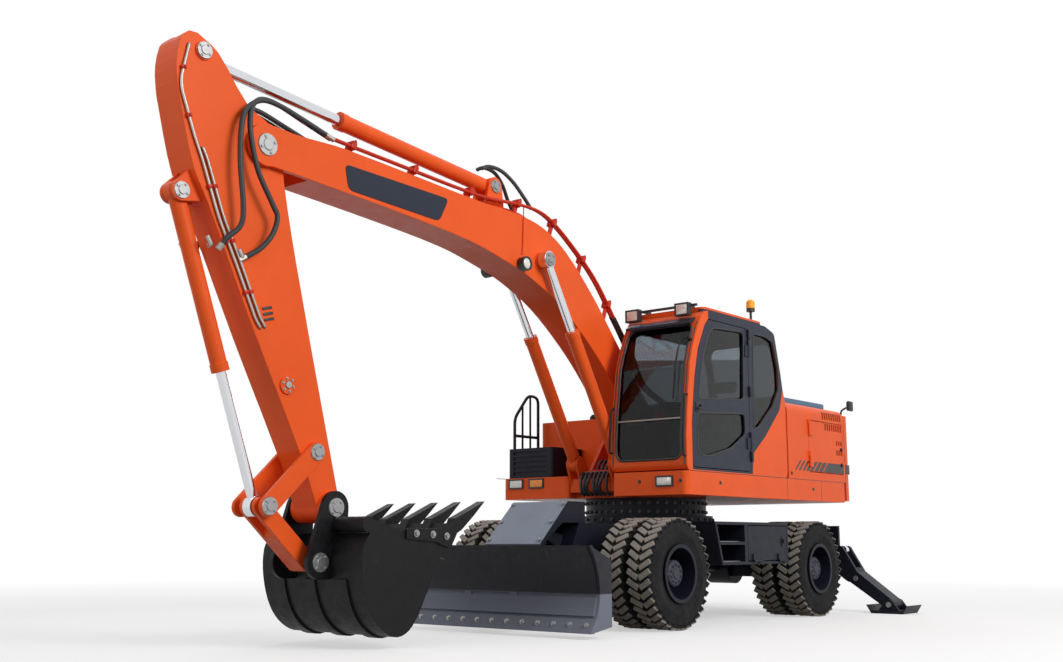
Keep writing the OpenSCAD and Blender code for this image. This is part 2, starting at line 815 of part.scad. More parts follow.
module stab_line() {
  translate([stabiliser_x, 0, 0]) rotate([0, 0, 90]) along([stab_base_y, stab_base_z], leg_ear) children();
}

module stab_barrel() {
  stab_line() barrel(stab_barrel_len, small_barrel_r, small_rod_r, small_eye_r, small_eye_half_w, small_pin_r);
}

module stab_rod() {
  stab_line() translate([norm(leg_ear - [stab_base_y, stab_base_z]), 0, 0])
    rod(stab_rod_len, small_rod_r, small_eye_r, small_eye_half_w, small_pin_r);
}

module stabiliser_left() { color(dark) on_machine() stabiliser(); }
module stabiliser_right() { color(dark) on_machine() mirror([0, 1, 0]) stabiliser(); }
module stabiliser_barrel_left() { color(dark) on_machine() stab_barrel(); }
module stabiliser_barrel_right() { color(dark) on_machine() mirror([0, 1, 0]) stab_barrel(); }
module stabiliser_rod_left() { color(steel) on_machine() stab_rod(); }
module stabiliser_rod_right() { color(steel) on_machine() mirror([0, 1, 0]) stab_rod(); }

// Upper structure

deck_right_x = 940;
deck_round = 60;
deck_mid_x = 780;
boom_foot_half_w = 228;
bracket_t = 40;
bracket_gap = 6;
bracket_back = 420;
bracket_back_x = boom_foot_x - bracket_back;
bracket_ahead = 560;
bracket_front_x = boom_foot_x + bracket_ahead;
boom_foot_r = 190;
boom_cyl_foot_x = 890;
boom_cyl_foot_z = 1620;
boom_eye_r = 82;
boom_eye_half_w = 46;
boom_eye_gap = 5;
boom_ear_t = 20;

module deck_outline() {
  intersection() {
    translate([-2 * tail_r, -house_half_w]) square([2 * tail_r + cab_front_x, house_w]);
    union() {
      circle(r = tail_r, $fn = 120);
      translate([0, -house_half_w]) square([cab_front_x, house_w]);
    }
    union() {
      translate([-2 * tail_r, -house_half_w]) square([2 * tail_r + deck_mid_x, house_w]);
      translate([0, cab_inner_y]) square([cab_front_x, house_half_w - cab_inner_y]);
      translate([0, -house_half_w]) square([deck_right_x, house_half_w - cab_inner_y]);
    }
    translate([-weight_front_back, -house_half_w]) square([weight_front_back + cab_front_x, house_w]);
  }
}

module house_frame() {
  color(orange) on_machine() {
    translate([0, 0, house_z]) linear_extrude(deck_h)
      offset(r = deck_round, $fn = 24) offset(delta = -deck_round) deck_outline();
    both_sides() {
      difference() {
        slab(boom_foot_half_w + bracket_gap, boom_foot_half_w + bracket_gap + bracket_t) hull() {
          translate([boom_foot_x, boom_foot_z]) circle(r = boom_foot_r);
          translate([bracket_back_x, deck_top_z - overrun])
            square([bracket_front_x - bracket_back_x, overrun]);
        }
        bar_y(boom_foot_x, boom_foot_z, pin_r + fit_gap, 0, house_half_w);
      }
      for (side = [-1, 1])
        boom_cyl_ear(boom_cyl_y + side * (boom_eye_half_w + boom_eye_gap + boom_ear_t / 2));
      bar_y(boom_cyl_foot_x, boom_cyl_foot_z, pin_r, boom_cyl_y - boom_eye_half_w - boom_eye_gap - boom_ear_t,
        boom_cyl_y + boom_eye_half_w + boom_eye_gap + boom_ear_t);
    }
    block([deck_mid_x - overrun, -cab_inner_y + overrun, house_z + deck_round],
      [boom_cyl_foot_x, cab_inner_y - overrun, deck_top_z - deck_round / 2]);
  }
}

module boom_cyl_ear(y) {
  slab(y - boom_ear_t / 2, y + boom_ear_t / 2) hull() {
    translate([boom_cyl_foot_x, boom_cyl_foot_z]) circle(r = boom_eye_r);
    translate([deck_mid_x - boom_eye_r, house_z + deck_round])
      square([2 * boom_eye_r, deck_h - 2 * deck_round]);
  }
}

weight_lift = 20;
weight_low_z = house_z + weight_lift;
weight_drop = 60;
weight_top_z = body_top_z - weight_drop;
weight_round = 110;
eye_hole_r = 34;
eye_plate_t = 44;
eye_plate_r = 80;
eye_plate_ahead = 330;
eye_plate_x = -tail_r + eye_plate_ahead;
eye_plate_y = 760;
joint_gap = 4;

// Tail with rounded corners, cut off where the body begins
module tail_outline() {
  intersection() {
    offset(r = weight_round) offset(delta = -weight_round) intersection() {
      circle(r = tail_r, $fn = 120);
      translate([-tail_r, -house_half_w]) square([tail_r, house_w]);
    }
    translate([-tail_r, -house_half_w]) square([tail_r - weight_front_back, house_w]);
  }
}

module counterweight() {
  color(orange) on_machine() {
    translate([0, 0, weight_low_z]) linear_extrude(weight_top_z - weight_low_z) tail_outline();
    both_sides() slab(eye_plate_y - eye_plate_t / 2, eye_plate_y + eye_plate_t / 2) difference() {
      union() {
        translate([eye_plate_x, weight_top_z + eye_plate_r]) circle(r = eye_plate_r);
        translate([eye_plate_x - eye_plate_r, weight_top_z - overrun])
          square([2 * eye_plate_r, eye_plate_r + overrun]);
      }
      translate([eye_plate_x, weight_top_z + eye_plate_r]) circle(r = eye_hole_r);
    }
  }
}

body_rear_x = -weight_front_back;
body_front_x = -body_front_back;
body_round = 110;
hood_half_w = 760;
hood_h = 105;
hood_slope = 60;
side_door_back = 490;
side_door_front_x = body_front_x - side_door_back;
side_door_rear_x = body_rear_x + wall;
side_door_lift = 90;
side_door_low_z = deck_top_z + side_door_lift;
side_door_drop = 170;
side_door_top_z = body_top_z - side_door_drop;
hinge_r = 14;
hinge_gap = fit_gap;
hinge_len = 120;
hinge_shares = [0.2, 0.8];
leaf_len = 70;
seat_leaf_len = 26;

module body_section(inset) {
  offset(r = body_round - inset, $fn = 32) offset(delta = -body_round)
    translate([-house_half_w, deck_top_z - 2 * body_round])
      square([house_w, body_top_z - deck_top_z + 2 * body_round]);
}

// Space above the deck, where the body stands
module above_deck() {
  translate([-house_half_w, deck_top_z]) square([house_w, body_top_z]);
}

module side_door_outline() {
  polygon([[side_door_rear_x, side_door_low_z], [side_door_front_x, side_door_low_z],
    [side_door_front_x, side_door_top_z], [side_door_rear_x, side_door_top_z]]);
}

// Rows of louvre slots: the rear and front ends along the door, and the low and high edges up it
louvre_shares = [[0.03, 0.60, 0.84, 0.97], [0.03, 0.28, 0.57, 0.655], [0.03, 0.28, 0.375, 0.475]];
top_louvre_shares = [0.03, 0.62, 1.05, 1.19];
louvre_pitch = 56;
louvre_depth = 16;
slot_share = 0.62;

// Cuts for one row of slots in the left side
module louvre_cuts(row) {
  long = side_door_front_x - side_door_rear_x;
  high = side_door_top_z - side_door_low_z;
  slots = floor((row[1] - row[0]) * long / louvre_pitch);
  for (i = [0 : slots - 1])
    translate([side_door_rear_x + row[0] * long + i * louvre_pitch, house_half_w - louvre_depth,
      side_door_low_z + row[2] * high])
      cube([slot_share * louvre_pitch, louvre_depth + overrun, (row[3] - row[2]) * high]);
}

module body_shell() {
  color(orange) on_machine() difference() {
    translate([body_rear_x, 0, 0]) rotate([90, 0, 90])
      linear_extrude(body_front_x - body_rear_x) intersection() {
      body_section(0);
      above_deck();
    }
    translate([body_rear_x + wall, 0, 0]) rotate([90, 0, 90])
      linear_extrude(body_front_x - body_rear_x - 2 * wall) body_section(wall);
    slab(-house_half_w - overrun, house_half_w + overrun) side_door_outline();
    block([body_rear_x + 2 * wall, -hood_half_w, body_top_z - 2 * wall],
      [body_front_x - 2 * wall, hood_half_w, body_top_z + overrun]);
    both_sides() louvre_cuts(top_louvre_shares);
  }
  color(orange) on_machine() {
    at_hood_hinges() hinge_seat();
    both_sides() at_side_hinges() hinge_seat();
  }
}

module at_hood_hinges() {
  for (side = [-1, 1])
    translate([body_front_x - 2 * wall - panel_gap / 2, side * hood_half_w / 2, body_top_z])
      rotate([90, 0, 180])
      children();
}

module at_side_hinges() {
  for (share = hinge_shares)
    translate([side_door_front_x - panel_gap / 2, house_half_w,
      side_door_low_z + share * (side_door_top_z - side_door_low_z)]) mirror([1, 0, 0]) children();
}

module engine_hood() {
  color(slate) on_machine() {
    block([body_rear_x + 2 * wall + panel_gap, -hood_half_w + panel_gap, body_top_z - wall],
      [body_front_x - 2 * wall - panel_gap, hood_half_w - panel_gap, body_top_z]);
    slab(-hood_half_w + wall, hood_half_w - wall) polygon([[body_rear_x + 3 * wall, body_top_z - overrun],
      [body_front_x - 3 * wall, body_top_z - overrun],
      [body_front_x - 3 * wall - hood_slope, body_top_z + hood_h],
      [body_rear_x + 3 * wall + hood_slope, body_top_z + hood_h]]);
    at_hood_hinges() hinge_leaf();
  }
}

// Moving half of a hinge about its own Z axis, with a leaf along +X that lies on the face at y = 0
module hinge_leaf() {
  translate([0, hinge_r + hinge_gap, -hinge_len / 2]) cylinder(r = hinge_r, h = hinge_len);
  translate([0, -hinge_gap, -hinge_len / 2]) cube([leaf_len, 2 * hinge_gap + hinge_r, hinge_len]);
}

// Fixed half of a hinge, at the end of the moving half, with a short leaf along -X
module hinge_seat() {
  translate([0, 0, hinge_len / 2 + fit_gap]) {
    translate([0, hinge_r + hinge_gap, 0]) cylinder(r = hinge_r, h = hinge_len / 2);
    translate([-seat_leaf_len, -hinge_gap, 0]) cube([seat_leaf_len, 2 * hinge_gap + hinge_r, hinge_len / 2]);
  }
}

module side_door() {
  difference() {
    slab(house_half_w - wall, house_half_w) offset(delta = -panel_gap) side_door_outline();
    for (row = louvre_shares)
      louvre_cuts(row);
  }
  at_side_hinges() hinge_leaf();
}

module side_door_left() { color(orange) on_machine() side_door(); }
module side_door_right() { color(orange) on_machine() mirror([0, 1, 0]) side_door(); }

engine_half_w = 520;
engine_len = 620;
engine_h = 560;

module engine_block() {
  color(slate) on_machine() block([body_rear_x + 3 * wall, -engine_half_w, deck_top_z],
    [body_rear_x + 3 * wall + engine_len, engine_half_w, deck_top_z + engine_h]);
}

tank_front_x = 300;
tank_gap = 60;
tank_inner_y = boom_foot_half_w + bracket_gap + bracket_t + tank_gap;
tank_top_z = 2230;
tank_round = 70;
tank_split_x = -380;

module tank_box(x0, x1, top_z) {
  translate([0, 0, deck_top_z]) linear_extrude(top_z - deck_top_z) offset(r = tank_round, $fn = 24)
    offset(delta = -tank_round) translate([x0, -house_half_w])
      square([x1 - x0, house_half_w - tank_inner_y]);
}

module tanks() {
  color(orange) on_machine() {
    tank_box(body_front_x + joint_gap, tank_split_x - joint_gap / 2, tank_top_z);
    tank_box(tank_split_x + joint_gap / 2, tank_front_x, tank_top_z - tank_round);
  }
}

front_box_x = 860;
front_box_h = 330;
front_box_inner_y = 620;
front_box_back_x = tank_front_x + joint_gap;

grille_slots = 5;
grille_depth = 14;

module front_box() {
  pitch = front_box_h / (grille_slots + 1);
  color(dark) on_machine() difference() {
    translate([0, 0, deck_top_z]) linear_extrude(front_box_h) offset(r = wall, $fn = 24) offset(delta = -wall)
      translate([front_box_back_x, -house_half_w])
        square([front_box_x - front_box_back_x, house_half_w - front_box_inner_y]);
    for (i = [1 : grille_slots])
      translate([front_box_x - grille_depth, -house_half_w + 2 * wall,
        deck_top_z + (i - slot_share / 2) * pitch])
        cube([grille_depth + overrun, house_half_w - front_box_inner_y - 4 * wall, slot_share * pitch]);
  }
}

rail_r = 17;
rail_h = 960;
rail_top_z = deck_top_z + rail_h;
rail_inset = 45;
rail_y = house_half_w - rail_inset;
rail_gap = 90;
rail_back_x = tank_front_x + rail_gap;
rail_end_inset = 60;
rail_front_x = front_box_x - rail_end_inset;

module rail_bar(a, b) {
  d = b - a;
  translate(a) rotate([0, acos(d[2] / norm(d)), atan2(d[1], d[0])]) cylinder(r = rail_r, h = norm(d), $fn = 24);
}

module handrails() {
  base_z = deck_top_z + front_box_h;
  color(black) on_machine() mirror([0, 1, 0]) {
    rail_bar([rail_back_x, rail_y, base_z], [rail_back_x, rail_y, rail_top_z]);
    rail_bar([rail_front_x, rail_y, base_z], [rail_front_x, rail_y, rail_top_z]);
    for (z = [rail_top_z, (rail_top_z + base_z) / 2])
      rail_bar([rail_back_x, rail_y, z], [rail_front_x, rail_y, z]);
    for (x = [rail_back_x, rail_front_x])
      translate([x, rail_y, rail_top_z]) sphere(r = rail_r, $fn = 24);
  }
}

// Cab

cab_gap = 6;
cab_low_z = deck_top_z;
cab_rear_x = cab_front_x - cab_len;
roof_shares = [0.20, 0.79];
cab_side_shares = [[1, 0], [1, 0.20], [0.986, 0.374], [0.955, 0.644], [0.924, 0.757], [0.873, 0.892],
  [0.835, 0.965], [roof_shares[1], 1], [roof_shares[0], 1], [0.10, 0.965], [0.045, 0.71], [0.025, 0.595],
  [0, 0.5], [0, 0]];
cab_round = 70;
door_hinge_share = 0.39;
door_shares = [[0.947, 0.02], [0.947, 0.29], [0.918, 0.56], [0.878, 0.746], [0.811, 0.903], [0.775, 0.95],
  [0.405, 0.95], [door_hinge_share, 0.93], [door_hinge_share, 0.02]];
door_window_shares = [[0.875, 0.44], [0.881, 0.47], [0.835, 0.70], [0.785, 0.84], [0.74, 0.90], [0.445, 0.92],
  [0.43, 0.90], [0.445, 0.49], [0.47, 0.475]];
door_low_window_shares = [[0.893, 0.10], [0.90, 0.35], [0.44, 0.39], [0.435, 0.26], [0.58, 0.16],
  [0.80, 0.095]];
quarter_shares = [[0.35, 0.30], [0.33, 0.93], [0.20, 0.93], [0.12, 0.905], [0.07, 0.73], [0.068, 0.59],
  [0.14, 0.466], [0.297, 0.315]];
right_window_shares = [[0.90, 0.30], [0.80, 0.88], [0.74, 0.91], [0.14, 0.91], [0.08, 0.74], [0.07, 0.58],
  [0.14, 0.40]];
front_window_shares = [0.07, 0.91];
rear_window_shares = [0.55, 0.90];
window_post = 62;
window_round = 40;
screen_round = 90;
cab_outer_y = house_half_w;

function cab_points(shares) = [for (s = shares) [cab_rear_x + s[0] * cab_len, cab_low_z + s[1] * cab_h]];

module cab_side(inset) {
  offset(r = cab_round - inset, $fn = 32) offset(delta = -cab_round) polygon(cab_points(cab_side_shares));
}

module window(shares, inset) {
  offset(r = window_round - inset, $fn = 24) offset(delta = -window_round) polygon(cab_points(shares));
}

// Cuts along the machine for the windscreen and the rear window, with rounded corners
module screen_cut(x0, x1, shares, inset) {
  translate([x0, 0, 0]) rotate([90, 0, 90]) linear_extrude(x1 - x0) offset(r = screen_round - inset, $fn = 24)
    offset(delta = -screen_round) translate([cab_inner_y + window_post, cab_low_z + shares[0] * cab_h])
      square([cab_outer_y - cab_inner_y - 2 * window_post, (shares[1] - shares[0]) * cab_h]);
}

module front_cut(inset) {
  screen_cut(cab_rear_x + cab_len / 2, cab_front_x + overrun, front_window_shares, inset);
}

module rear_cut(inset) {
  screen_cut(cab_rear_x - overrun, cab_rear_x + cab_len / 4, rear_window_shares, inset);
}

module cab_frame() {
  color(orange) on_machine() difference() {
    slab(cab_inner_y, cab_outer_y) cab_side(0);
    slab(cab_inner_y + cab_wall, cab_outer_y - cab_wall) cab_side(cab_wall);
    front_cut(0);
    rear_cut(0);
    slab(cab_outer_y - 2 * cab_wall, cab_outer_y + overrun) window(door_shares, 0);
    slab(cab_outer_y - 2 * cab_wall, cab_outer_y + overrun) window(quarter_shares, 0);
    slab(cab_inner_y - overrun, cab_inner_y + 2 * cab_wall) window(right_window_shares, 0);
  }
  color(orange) on_machine() at_cab_hinges() hinge_seat();
}

module at_cab_hinges() {
  for (share = hinge_shares)
    translate([cab_rear_x + door_hinge_share * cab_len + panel_gap / 2, cab_outer_y, cab_low_z + share * cab_h])
      children();
}

module cab_layer() {
  slab(cab_inner_y, cab_outer_y) difference() {
    cab_side(cab_wall / 2 - glass_t / 2);
    cab_side(cab_wall / 2 + glass_t / 2);
  }
}

module cab_glass() {
  color(pane) on_machine() {
    intersection() {
      cab_layer();
      front_cut(fit_gap);
    }
    intersection() {
      cab_layer();
      rear_cut(fit_gap);
    }
    pane_y = cab_wall / 2 - glass_t / 2;
    slab(cab_outer_y - pane_y - glass_t, cab_outer_y - pane_y) window(quarter_shares, fit_gap);
    slab(cab_inner_y + pane_y, cab_inner_y + pane_y + glass_t) window(right_window_shares, fit_gap);
  }
}

roof_t = 46;
roof_inset = 60;

module cab_roof() {
  color(orange) on_machine() {
    x0 = cab_rear_x + roof_shares[0] * cab_len;
    x1 = cab_rear_x + roof_shares[1] * cab_len;
    translate([0, 0, cab_low_z + cab_h]) linear_extrude(roof_t)
      offset(r = roof_inset) offset(delta = -roof_inset)
      translate([x0, cab_inner_y + roof_inset / 2]) square([x1 - x0, cab_outer_y - cab_inner_y - roof_inset]);
  }
}

cab_mid_y = (cab_inner_y + cab_outer_y) / 2;
floor_z = cab_low_z + cab_wall;
seat_ahead = 560;
seat_x = cab_rear_x + seat_ahead;
seat_half_w = 240;
seat_base_h = 300;
seat_t = 130;
seat_len = 500;
seat_back_h = 720;
seat_back_t = 120;
seat_lean = 120;
seat_foot_share = 0.75;

module seat() {
  color(black) on_machine() translate([seat_x, cab_mid_y, floor_z]) {
    block([seat_back_t, -seat_half_w * seat_foot_share, 0],
      [seat_len * seat_foot_share, seat_half_w * seat_foot_share, seat_base_h + overrun]);
    slab(-seat_half_w, seat_half_w) polygon([[0, seat_base_h], [seat_len, seat_base_h],
      [seat_len, seat_base_h + seat_t], [seat_back_t, seat_base_h + seat_t],
      [seat_back_t - seat_lean, seat_base_h + seat_back_h], [-seat_lean, seat_base_h + seat_back_h]]);
  }
}

column_back = 420;
column_x = cab_front_x - column_back;
column_len = 620;
column_r = 45;
column_lean = 14;
wheel_ring_r = 190;
wheel_ring_bar_r = 16;
spoke_share = 0.8;
box_w = 130;
box_h = 460;
box_len = 560;

module console() {
  color(dark) on_machine() {
    translate([column_x, cab_mid_y, floor_z + column_r * sin(column_lean)]) rotate([0, -column_lean, 0]) {
      cylinder(r = column_r, h = column_len);
      translate([0, 0, column_len]) rotate_extrude() translate([wheel_ring_r, 0])
        circle(r = wheel_ring_bar_r, $fn = 16);
      translate([0, 0, column_len]) for (turn = [0, 120, 240])
        rotate([0, 0, turn]) rotate([0, 90, 0]) cylinder(r = wheel_ring_bar_r * spoke_share, h = wheel_ring_r);
      translate([0, 0, column_len - column_r]) cylinder(r = column_r, h = 1.5 * column_r);
    }
    for (side = [-1, 1])
      translate([seat_x, cab_mid_y + side * (seat_half_w + box_w / 2 + 4 * cab_gap), floor_z])
        block([0, -box_w / 2, 0], [box_len, box_w / 2, box_h]);
  }
}

module cab_door() {
  color(slate) on_machine() {
    difference() {
      slab(cab_outer_y - cab_wall, cab_outer_y) window(door_shares, panel_gap);
      slab(cab_outer_y - 2 * cab_wall, cab_outer_y + overrun) window(door_window_shares, 0);
      slab(cab_outer_y - 2 * cab_wall, cab_outer_y + overrun) window(door_low_window_shares, 0);
    }
    at_cab_hinges() hinge_leaf();
  }
}

module door_glass() {
  pane_y = cab_wall / 2 - glass_t / 2;
  color(pane) on_machine() slab(cab_outer_y - pane_y - glass_t, cab_outer_y - pane_y) {
    window(door_window_shares, fit_gap);
    window(door_low_window_shares, fit_gap);
  }
}

lamp_w = 165;
lamp_h = 130;
lamp_t = 70;
lamp_drop = 96;
lamp_frame = 14;
lamp_recess = 10;
lamp_y_shares = [0.10, 0.78];
lamp_rail_t = 24;
lamp_rail_ahead = 92;
lamp_rail_back = 60;
rail_foot_shares = [0.2, 0.8];
deck_lamp_w = 200;
deck_lamp_h = 105;
deck_lamp_t = 16;
deck_lamp_lift = 80;
cab_lamp_y_share = 0.71;
right_lamp_y_shares = [0.47, 0.787];
right_lamp_lift = 115;
beacon_r = 46;
beacon_shares = [0.267, 0.90];
beacon_h = 130;
beacon_post_h = 105;
beacon_post_r = 14;

// A lamp that looks forward: a box with its glass set back behind a frame, from its rear low middle
module lamp_box(w, h, t) {
  difference() {
    block([0, -w / 2, 0], [t, w / 2, h]);
    block([t - min(lamp_recess, t / 2), -w / 2 + lamp_frame, lamp_frame],
      [t + overrun, w / 2 - lamp_frame, h - lamp_frame]);
  }
}

module lamps() {
  cab_w = cab_outer_y - cab_inner_y;
  top = cab_low_z + cab_h + roof_t;
  front = cab_rear_x + roof_shares[1] * cab_len + lamp_rail_ahead;
  color([1, 0.7, 0.2]) on_machine() {
    block([front - lamp_rail_t, cab_inner_y, top], [front, cab_outer_y - roof_inset, top + lamp_rail_t]);
    for (share = rail_foot_shares)
      translate([front - lamp_rail_ahead - lamp_rail_back, cab_inner_y + share * cab_w, top])
        block([0, -lamp_rail_t / 2, 0], [lamp_rail_ahead + lamp_rail_back, lamp_rail_t / 2, lamp_rail_t]);
    for (share = lamp_y_shares)
      translate([front, cab_inner_y + share * cab_w, top - lamp_drop]) lamp_box(lamp_w, lamp_h, lamp_t);
    translate([cab_front_x, cab_inner_y + cab_lamp_y_share * cab_w, house_z + deck_lamp_lift])
      lamp_box(deck_lamp_w, deck_lamp_h, deck_lamp_t);
    for (share = right_lamp_y_shares)
      translate([deck_right_x, -cab_inner_y - share * cab_w, house_z + right_lamp_lift])
        lamp_box(deck_lamp_w, deck_lamp_h, deck_lamp_t);
    translate([cab_rear_x + beacon_shares[0] * cab_len, cab_inner_y + beacon_shares[1] * cab_w, top]) {
      cylinder(r = beacon_post_r, h = beacon_post_h);
      translate([0, 0, beacon_post_h]) cylinder(r = beacon_r, h = beacon_h - beacon_r / 2);
      translate([0, 0, beacon_post_h + beacon_h - beacon_r / 2])
        cylinder(r1 = beacon_r, r2 = beacon_r / 2, h = beacon_r / 2);
    }
  }
}

// Boom, in its own frame: +X from the foot pin to the tip pin

boom_top_shares = [[0, 0.036], [0.16, 0.118], [0.26, 0.168], [0.36, 0.205], [0.43, 0.212], [0.50, 0.198],
  [0.588, 0.167], [0.874, 0.078], [0.96, 0.044], [1, 0.032]];
boom_low_shares = [[0, -0.036], [0.07, -0.002], [0.16, 0.046], [0.24, 0.078], [0.34, 0.104], [0.43, 0.110],
  [0.50, 0.104], [0.588, 0.090], [0.743, 0.048], [0.93, -0.008], [1, -0.030]];
boom_tip_r = 172;
boom_ear_w = 40;
fork_share = 0.915;
boom_rod_shares = [0.4160, 0.1515];
arm_base_shares = [0.5510, 0.2260];
boom_cyl_boss_h = 24;
boom_lamp_shares = [0.4600, 0.1190];
boom_lamp_r = 60;
boom_lamp_h = 66;
arm_eye_r = 92;
arm_eye_half_w = 56;
arm_ear_gap = 6;
arm_ear_t = 34;
fork_gap = 8;

boom_tip_x = boom_foot_x + boom_len * cos(boom_angle);
boom_tip_z = boom_foot_z + boom_len * sin(boom_angle);
function on_boom(share) = [boom_foot_x, boom_foot_z] + boom_len
  * [share[0] * cos(boom_angle) - share[1] * sin(boom_angle),
    share[0] * sin(boom_angle) + share[1] * cos(boom_angle)];

module boom_frame() {
  translate([boom_foot_x, 0, boom_foot_z]) rotate([0, -boom_angle, 0]) children();
}

module boom_outline() {
  polygon(boom_len * concat(smooth(boom_top_shares, 4), reversed(smooth(boom_low_shares, 4))));
  circle(r = boom_foot_r);
  translate([boom_len, 0]) circle(r = boom_tip_r);
}

module boom() {
  color(orange) on_machine() boom_frame() {
    difference() {
      union() {
        slab(-boom_half_w, boom_half_w) boom_outline();
        bar_y(0, 0, boom_foot_r, -boom_foot_half_w, boom_foot_half_w);
        both_sides() bar_y(boom_len * boom_rod_shares[0], boom_len * boom_rod_shares[1], boom_eye_r,
          boom_half_w - overrun, boom_half_w + boom_cyl_boss_h);
        both_sides() bar_y(boom_len * boom_lamp_shares[0], boom_len * boom_lamp_shares[1], boom_lamp_r,
          boom_half_w - overrun, boom_half_w + boom_lamp_h);
        both_sides() slab(arm_eye_half_w + arm_ear_gap, arm_eye_half_w + arm_ear_gap + arm_ear_t) hull() {
          translate(boom_len * arm_base_shares) circle(r = arm_eye_r);
          translate(boom_len * (arm_base_shares - [0.03, 0.09])) circle(r = 2 * arm_eye_r);
        }
      }
      slab(-boom_half_w + boom_ear_w, boom_half_w - boom_ear_w)
        translate([boom_len * fork_share, -boom_len]) square([boom_len, 2 * boom_len]);
    }
    bar_y(0, 0, pin_r, -boom_foot_half_w - bracket_gap - bracket_t, boom_foot_half_w + bracket_gap + bracket_t);
    bar_y(boom_len, 0, pin_r, -boom_half_w, boom_half_w);
    bar_y(boom_len * arm_base_shares[0], boom_len * arm_base_shares[1], pin_r,
      -arm_eye_half_w - arm_ear_gap - arm_ear_t, arm_eye_half_w + arm_ear_gap + arm_ear_t);
  }
}

// Arm, in its own frame: +X from the boom's pin to the bucket's pin, +Z to the front

arm_rear_shares = [[-0.300, 0.150], [-0.250, 0.095], [-0.115, 0.030], [-0.045, -0.045], [0.02, -0.060],
  [0.10, -0.048], [0.32, -0.040], [0.95, -0.040], [1.0, -0.042]];
arm_front_shares = [[-0.305, 0.175], [-0.285, 0.205], [-0.21, 0.235], [-0.10, 0.242], [0.05, 0.238],
  [0.14, 0.215], [0.5, 0.140], [0.84, 0.062], [0.95, 0.045], [1.0, 0.040]];
arm_rod_shares = [-0.2530, 0.1420];
bucket_base_shares = [0.1040, 0.2720];
guide_shares = [0.8420, 0.0160];
yoke_shares = [0.9440, 0.2050];
arm_tip_r = 122;
arm_boss_shares = [[-0.253, 0.142], [0.647, 0.066]];
arm_boss_r = 74;
arm_boss_h = 14;
arm_tip_half_w = 184;
arm_slot_shares = [[-0.40, -0.10], [-0.40, 0.186], [-0.136, 0.186], [-0.136, -0.10]];
bucket_eye_r = 80;
bucket_eye_half_w = 46;
bucket_ear_gap = 6;
bucket_ear_t = 30;

module arm_frame() {
  translate([boom_tip_x, 0, boom_tip_z]) rotate([0, arm_angle, 0]) children();
}

function arm_point(share) = [boom_tip_x, boom_tip_z] + arm_len
  * [share[0] * cos(arm_angle) + share[1] * sin(arm_angle),
    -share[0] * sin(arm_angle) + share[1] * cos(arm_angle)];

module arm_outline() {
  polygon(arm_len * concat(smooth(arm_rear_shares, 3), reversed(smooth(arm_front_shares, 3))));
  translate([arm_len, 0]) circle(r = arm_tip_r);
}

module arm() {
  color(orange) on_machine() arm_frame() {
    difference() {
      union() {
        slab(-arm_half_w, arm_half_w) arm_outline();
        bar_y(arm_len, 0, arm_tip_r, -arm_tip_half_w, arm_tip_half_w);
        for (s = arm_boss_shares)
          both_sides() bar_y(arm_len * s[0], arm_len * s[1], arm_boss_r,
            arm_half_w - overrun, arm_half_w + arm_boss_h);
        both_sides() slab(bucket_eye_half_w + bucket_ear_gap, bucket_eye_half_w + bucket_ear_gap + bucket_ear_t)
          hull() {
            translate(arm_len * bucket_base_shares) circle(r = bucket_eye_r);
            translate(arm_len * (bucket_base_shares - [0.02, 0.09])) circle(r = 2 * bucket_eye_r);
          }
      }
      slab(-arm_eye_half_w - arm_ear_gap, arm_eye_half_w + arm_ear_gap) polygon(arm_len * arm_slot_shares);
      bar_y(0, 0, pin_r + fit_gap, -2 * arm_half_w, 2 * arm_half_w);
      bar_y(arm_len, 0, pin_r + fit_gap, -2 * arm_tip_half_w, 2 * arm_tip_half_w);
    }
    bar_y(arm_len * bucket_base_shares[0], arm_len * bucket_base_shares[1], pin_r,
      -bucket_eye_half_w - bucket_ear_gap - bucket_ear_t, bucket_eye_half_w + bucket_ear_gap + bucket_ear_t);
    bar_y(arm_len * guide_shares[0], arm_len * guide_shares[1], pin_r, -guide_outer_y, guide_outer_y);
  }
}

// Bucket linkage

guide_gap = 8;
guide_inner_y = arm_half_w + guide_gap;
guide_t = 34;
guide_outer_y = guide_inner_y + guide_t;
guide_r = 78;
push_gap = 10;
push_plate_inner_y = bucket_eye_half_w + push_gap;
push_plate_t = 36;
push_r = 72;
push_cross_len_share = 0.55;
ear_side_gap = 6;
ear_inner_y = arm_tip_half_w + ear_side_gap;
ear_plate_t = 40;

guide_at = arm_point(guide_shares);
yoke_at = arm_point(yoke_shares);
bucket_pin = arm_point([1, 0]);
link_pin_shares = [0.108, -0.317];
link_at = bucket_pin + bucket_r * link_pin_shares;

module guide_links() {
  color(orange) on_machine() both_sides() difference() {
    slab(guide_inner_y, guide_outer_y) hull() {
      translate(guide_at) circle(r = guide_r);
      translate(yoke_at) circle(r = guide_r);
    }
    bar_y(guide_at[0], guide_at[1], pin_r + fit_gap, 0, 2 * guide_outer_y);
  }
}

module push_link() {
  push_outer_y = push_plate_inner_y + push_plate_t;
  color(orange) on_machine() difference() {
    union() {
      both_sides() slab(push_plate_inner_y, push_outer_y) hull() {
        translate(link_at) circle(r = push_r);
        translate(yoke_at) circle(r = push_r);
      }
      slab(-push_outer_y, push_outer_y) hull() {
        translate(link_at) circle(r = push_r);
        translate(link_at + push_cross_len_share * (yoke_at - link_at)) circle(r = push_r);
      }
    }
    bar_y(link_at[0], link_at[1], pin_r + fit_gap, -2 * push_outer_y, 2 * push_outer_y);
  }
}

// Bucket, about its pin

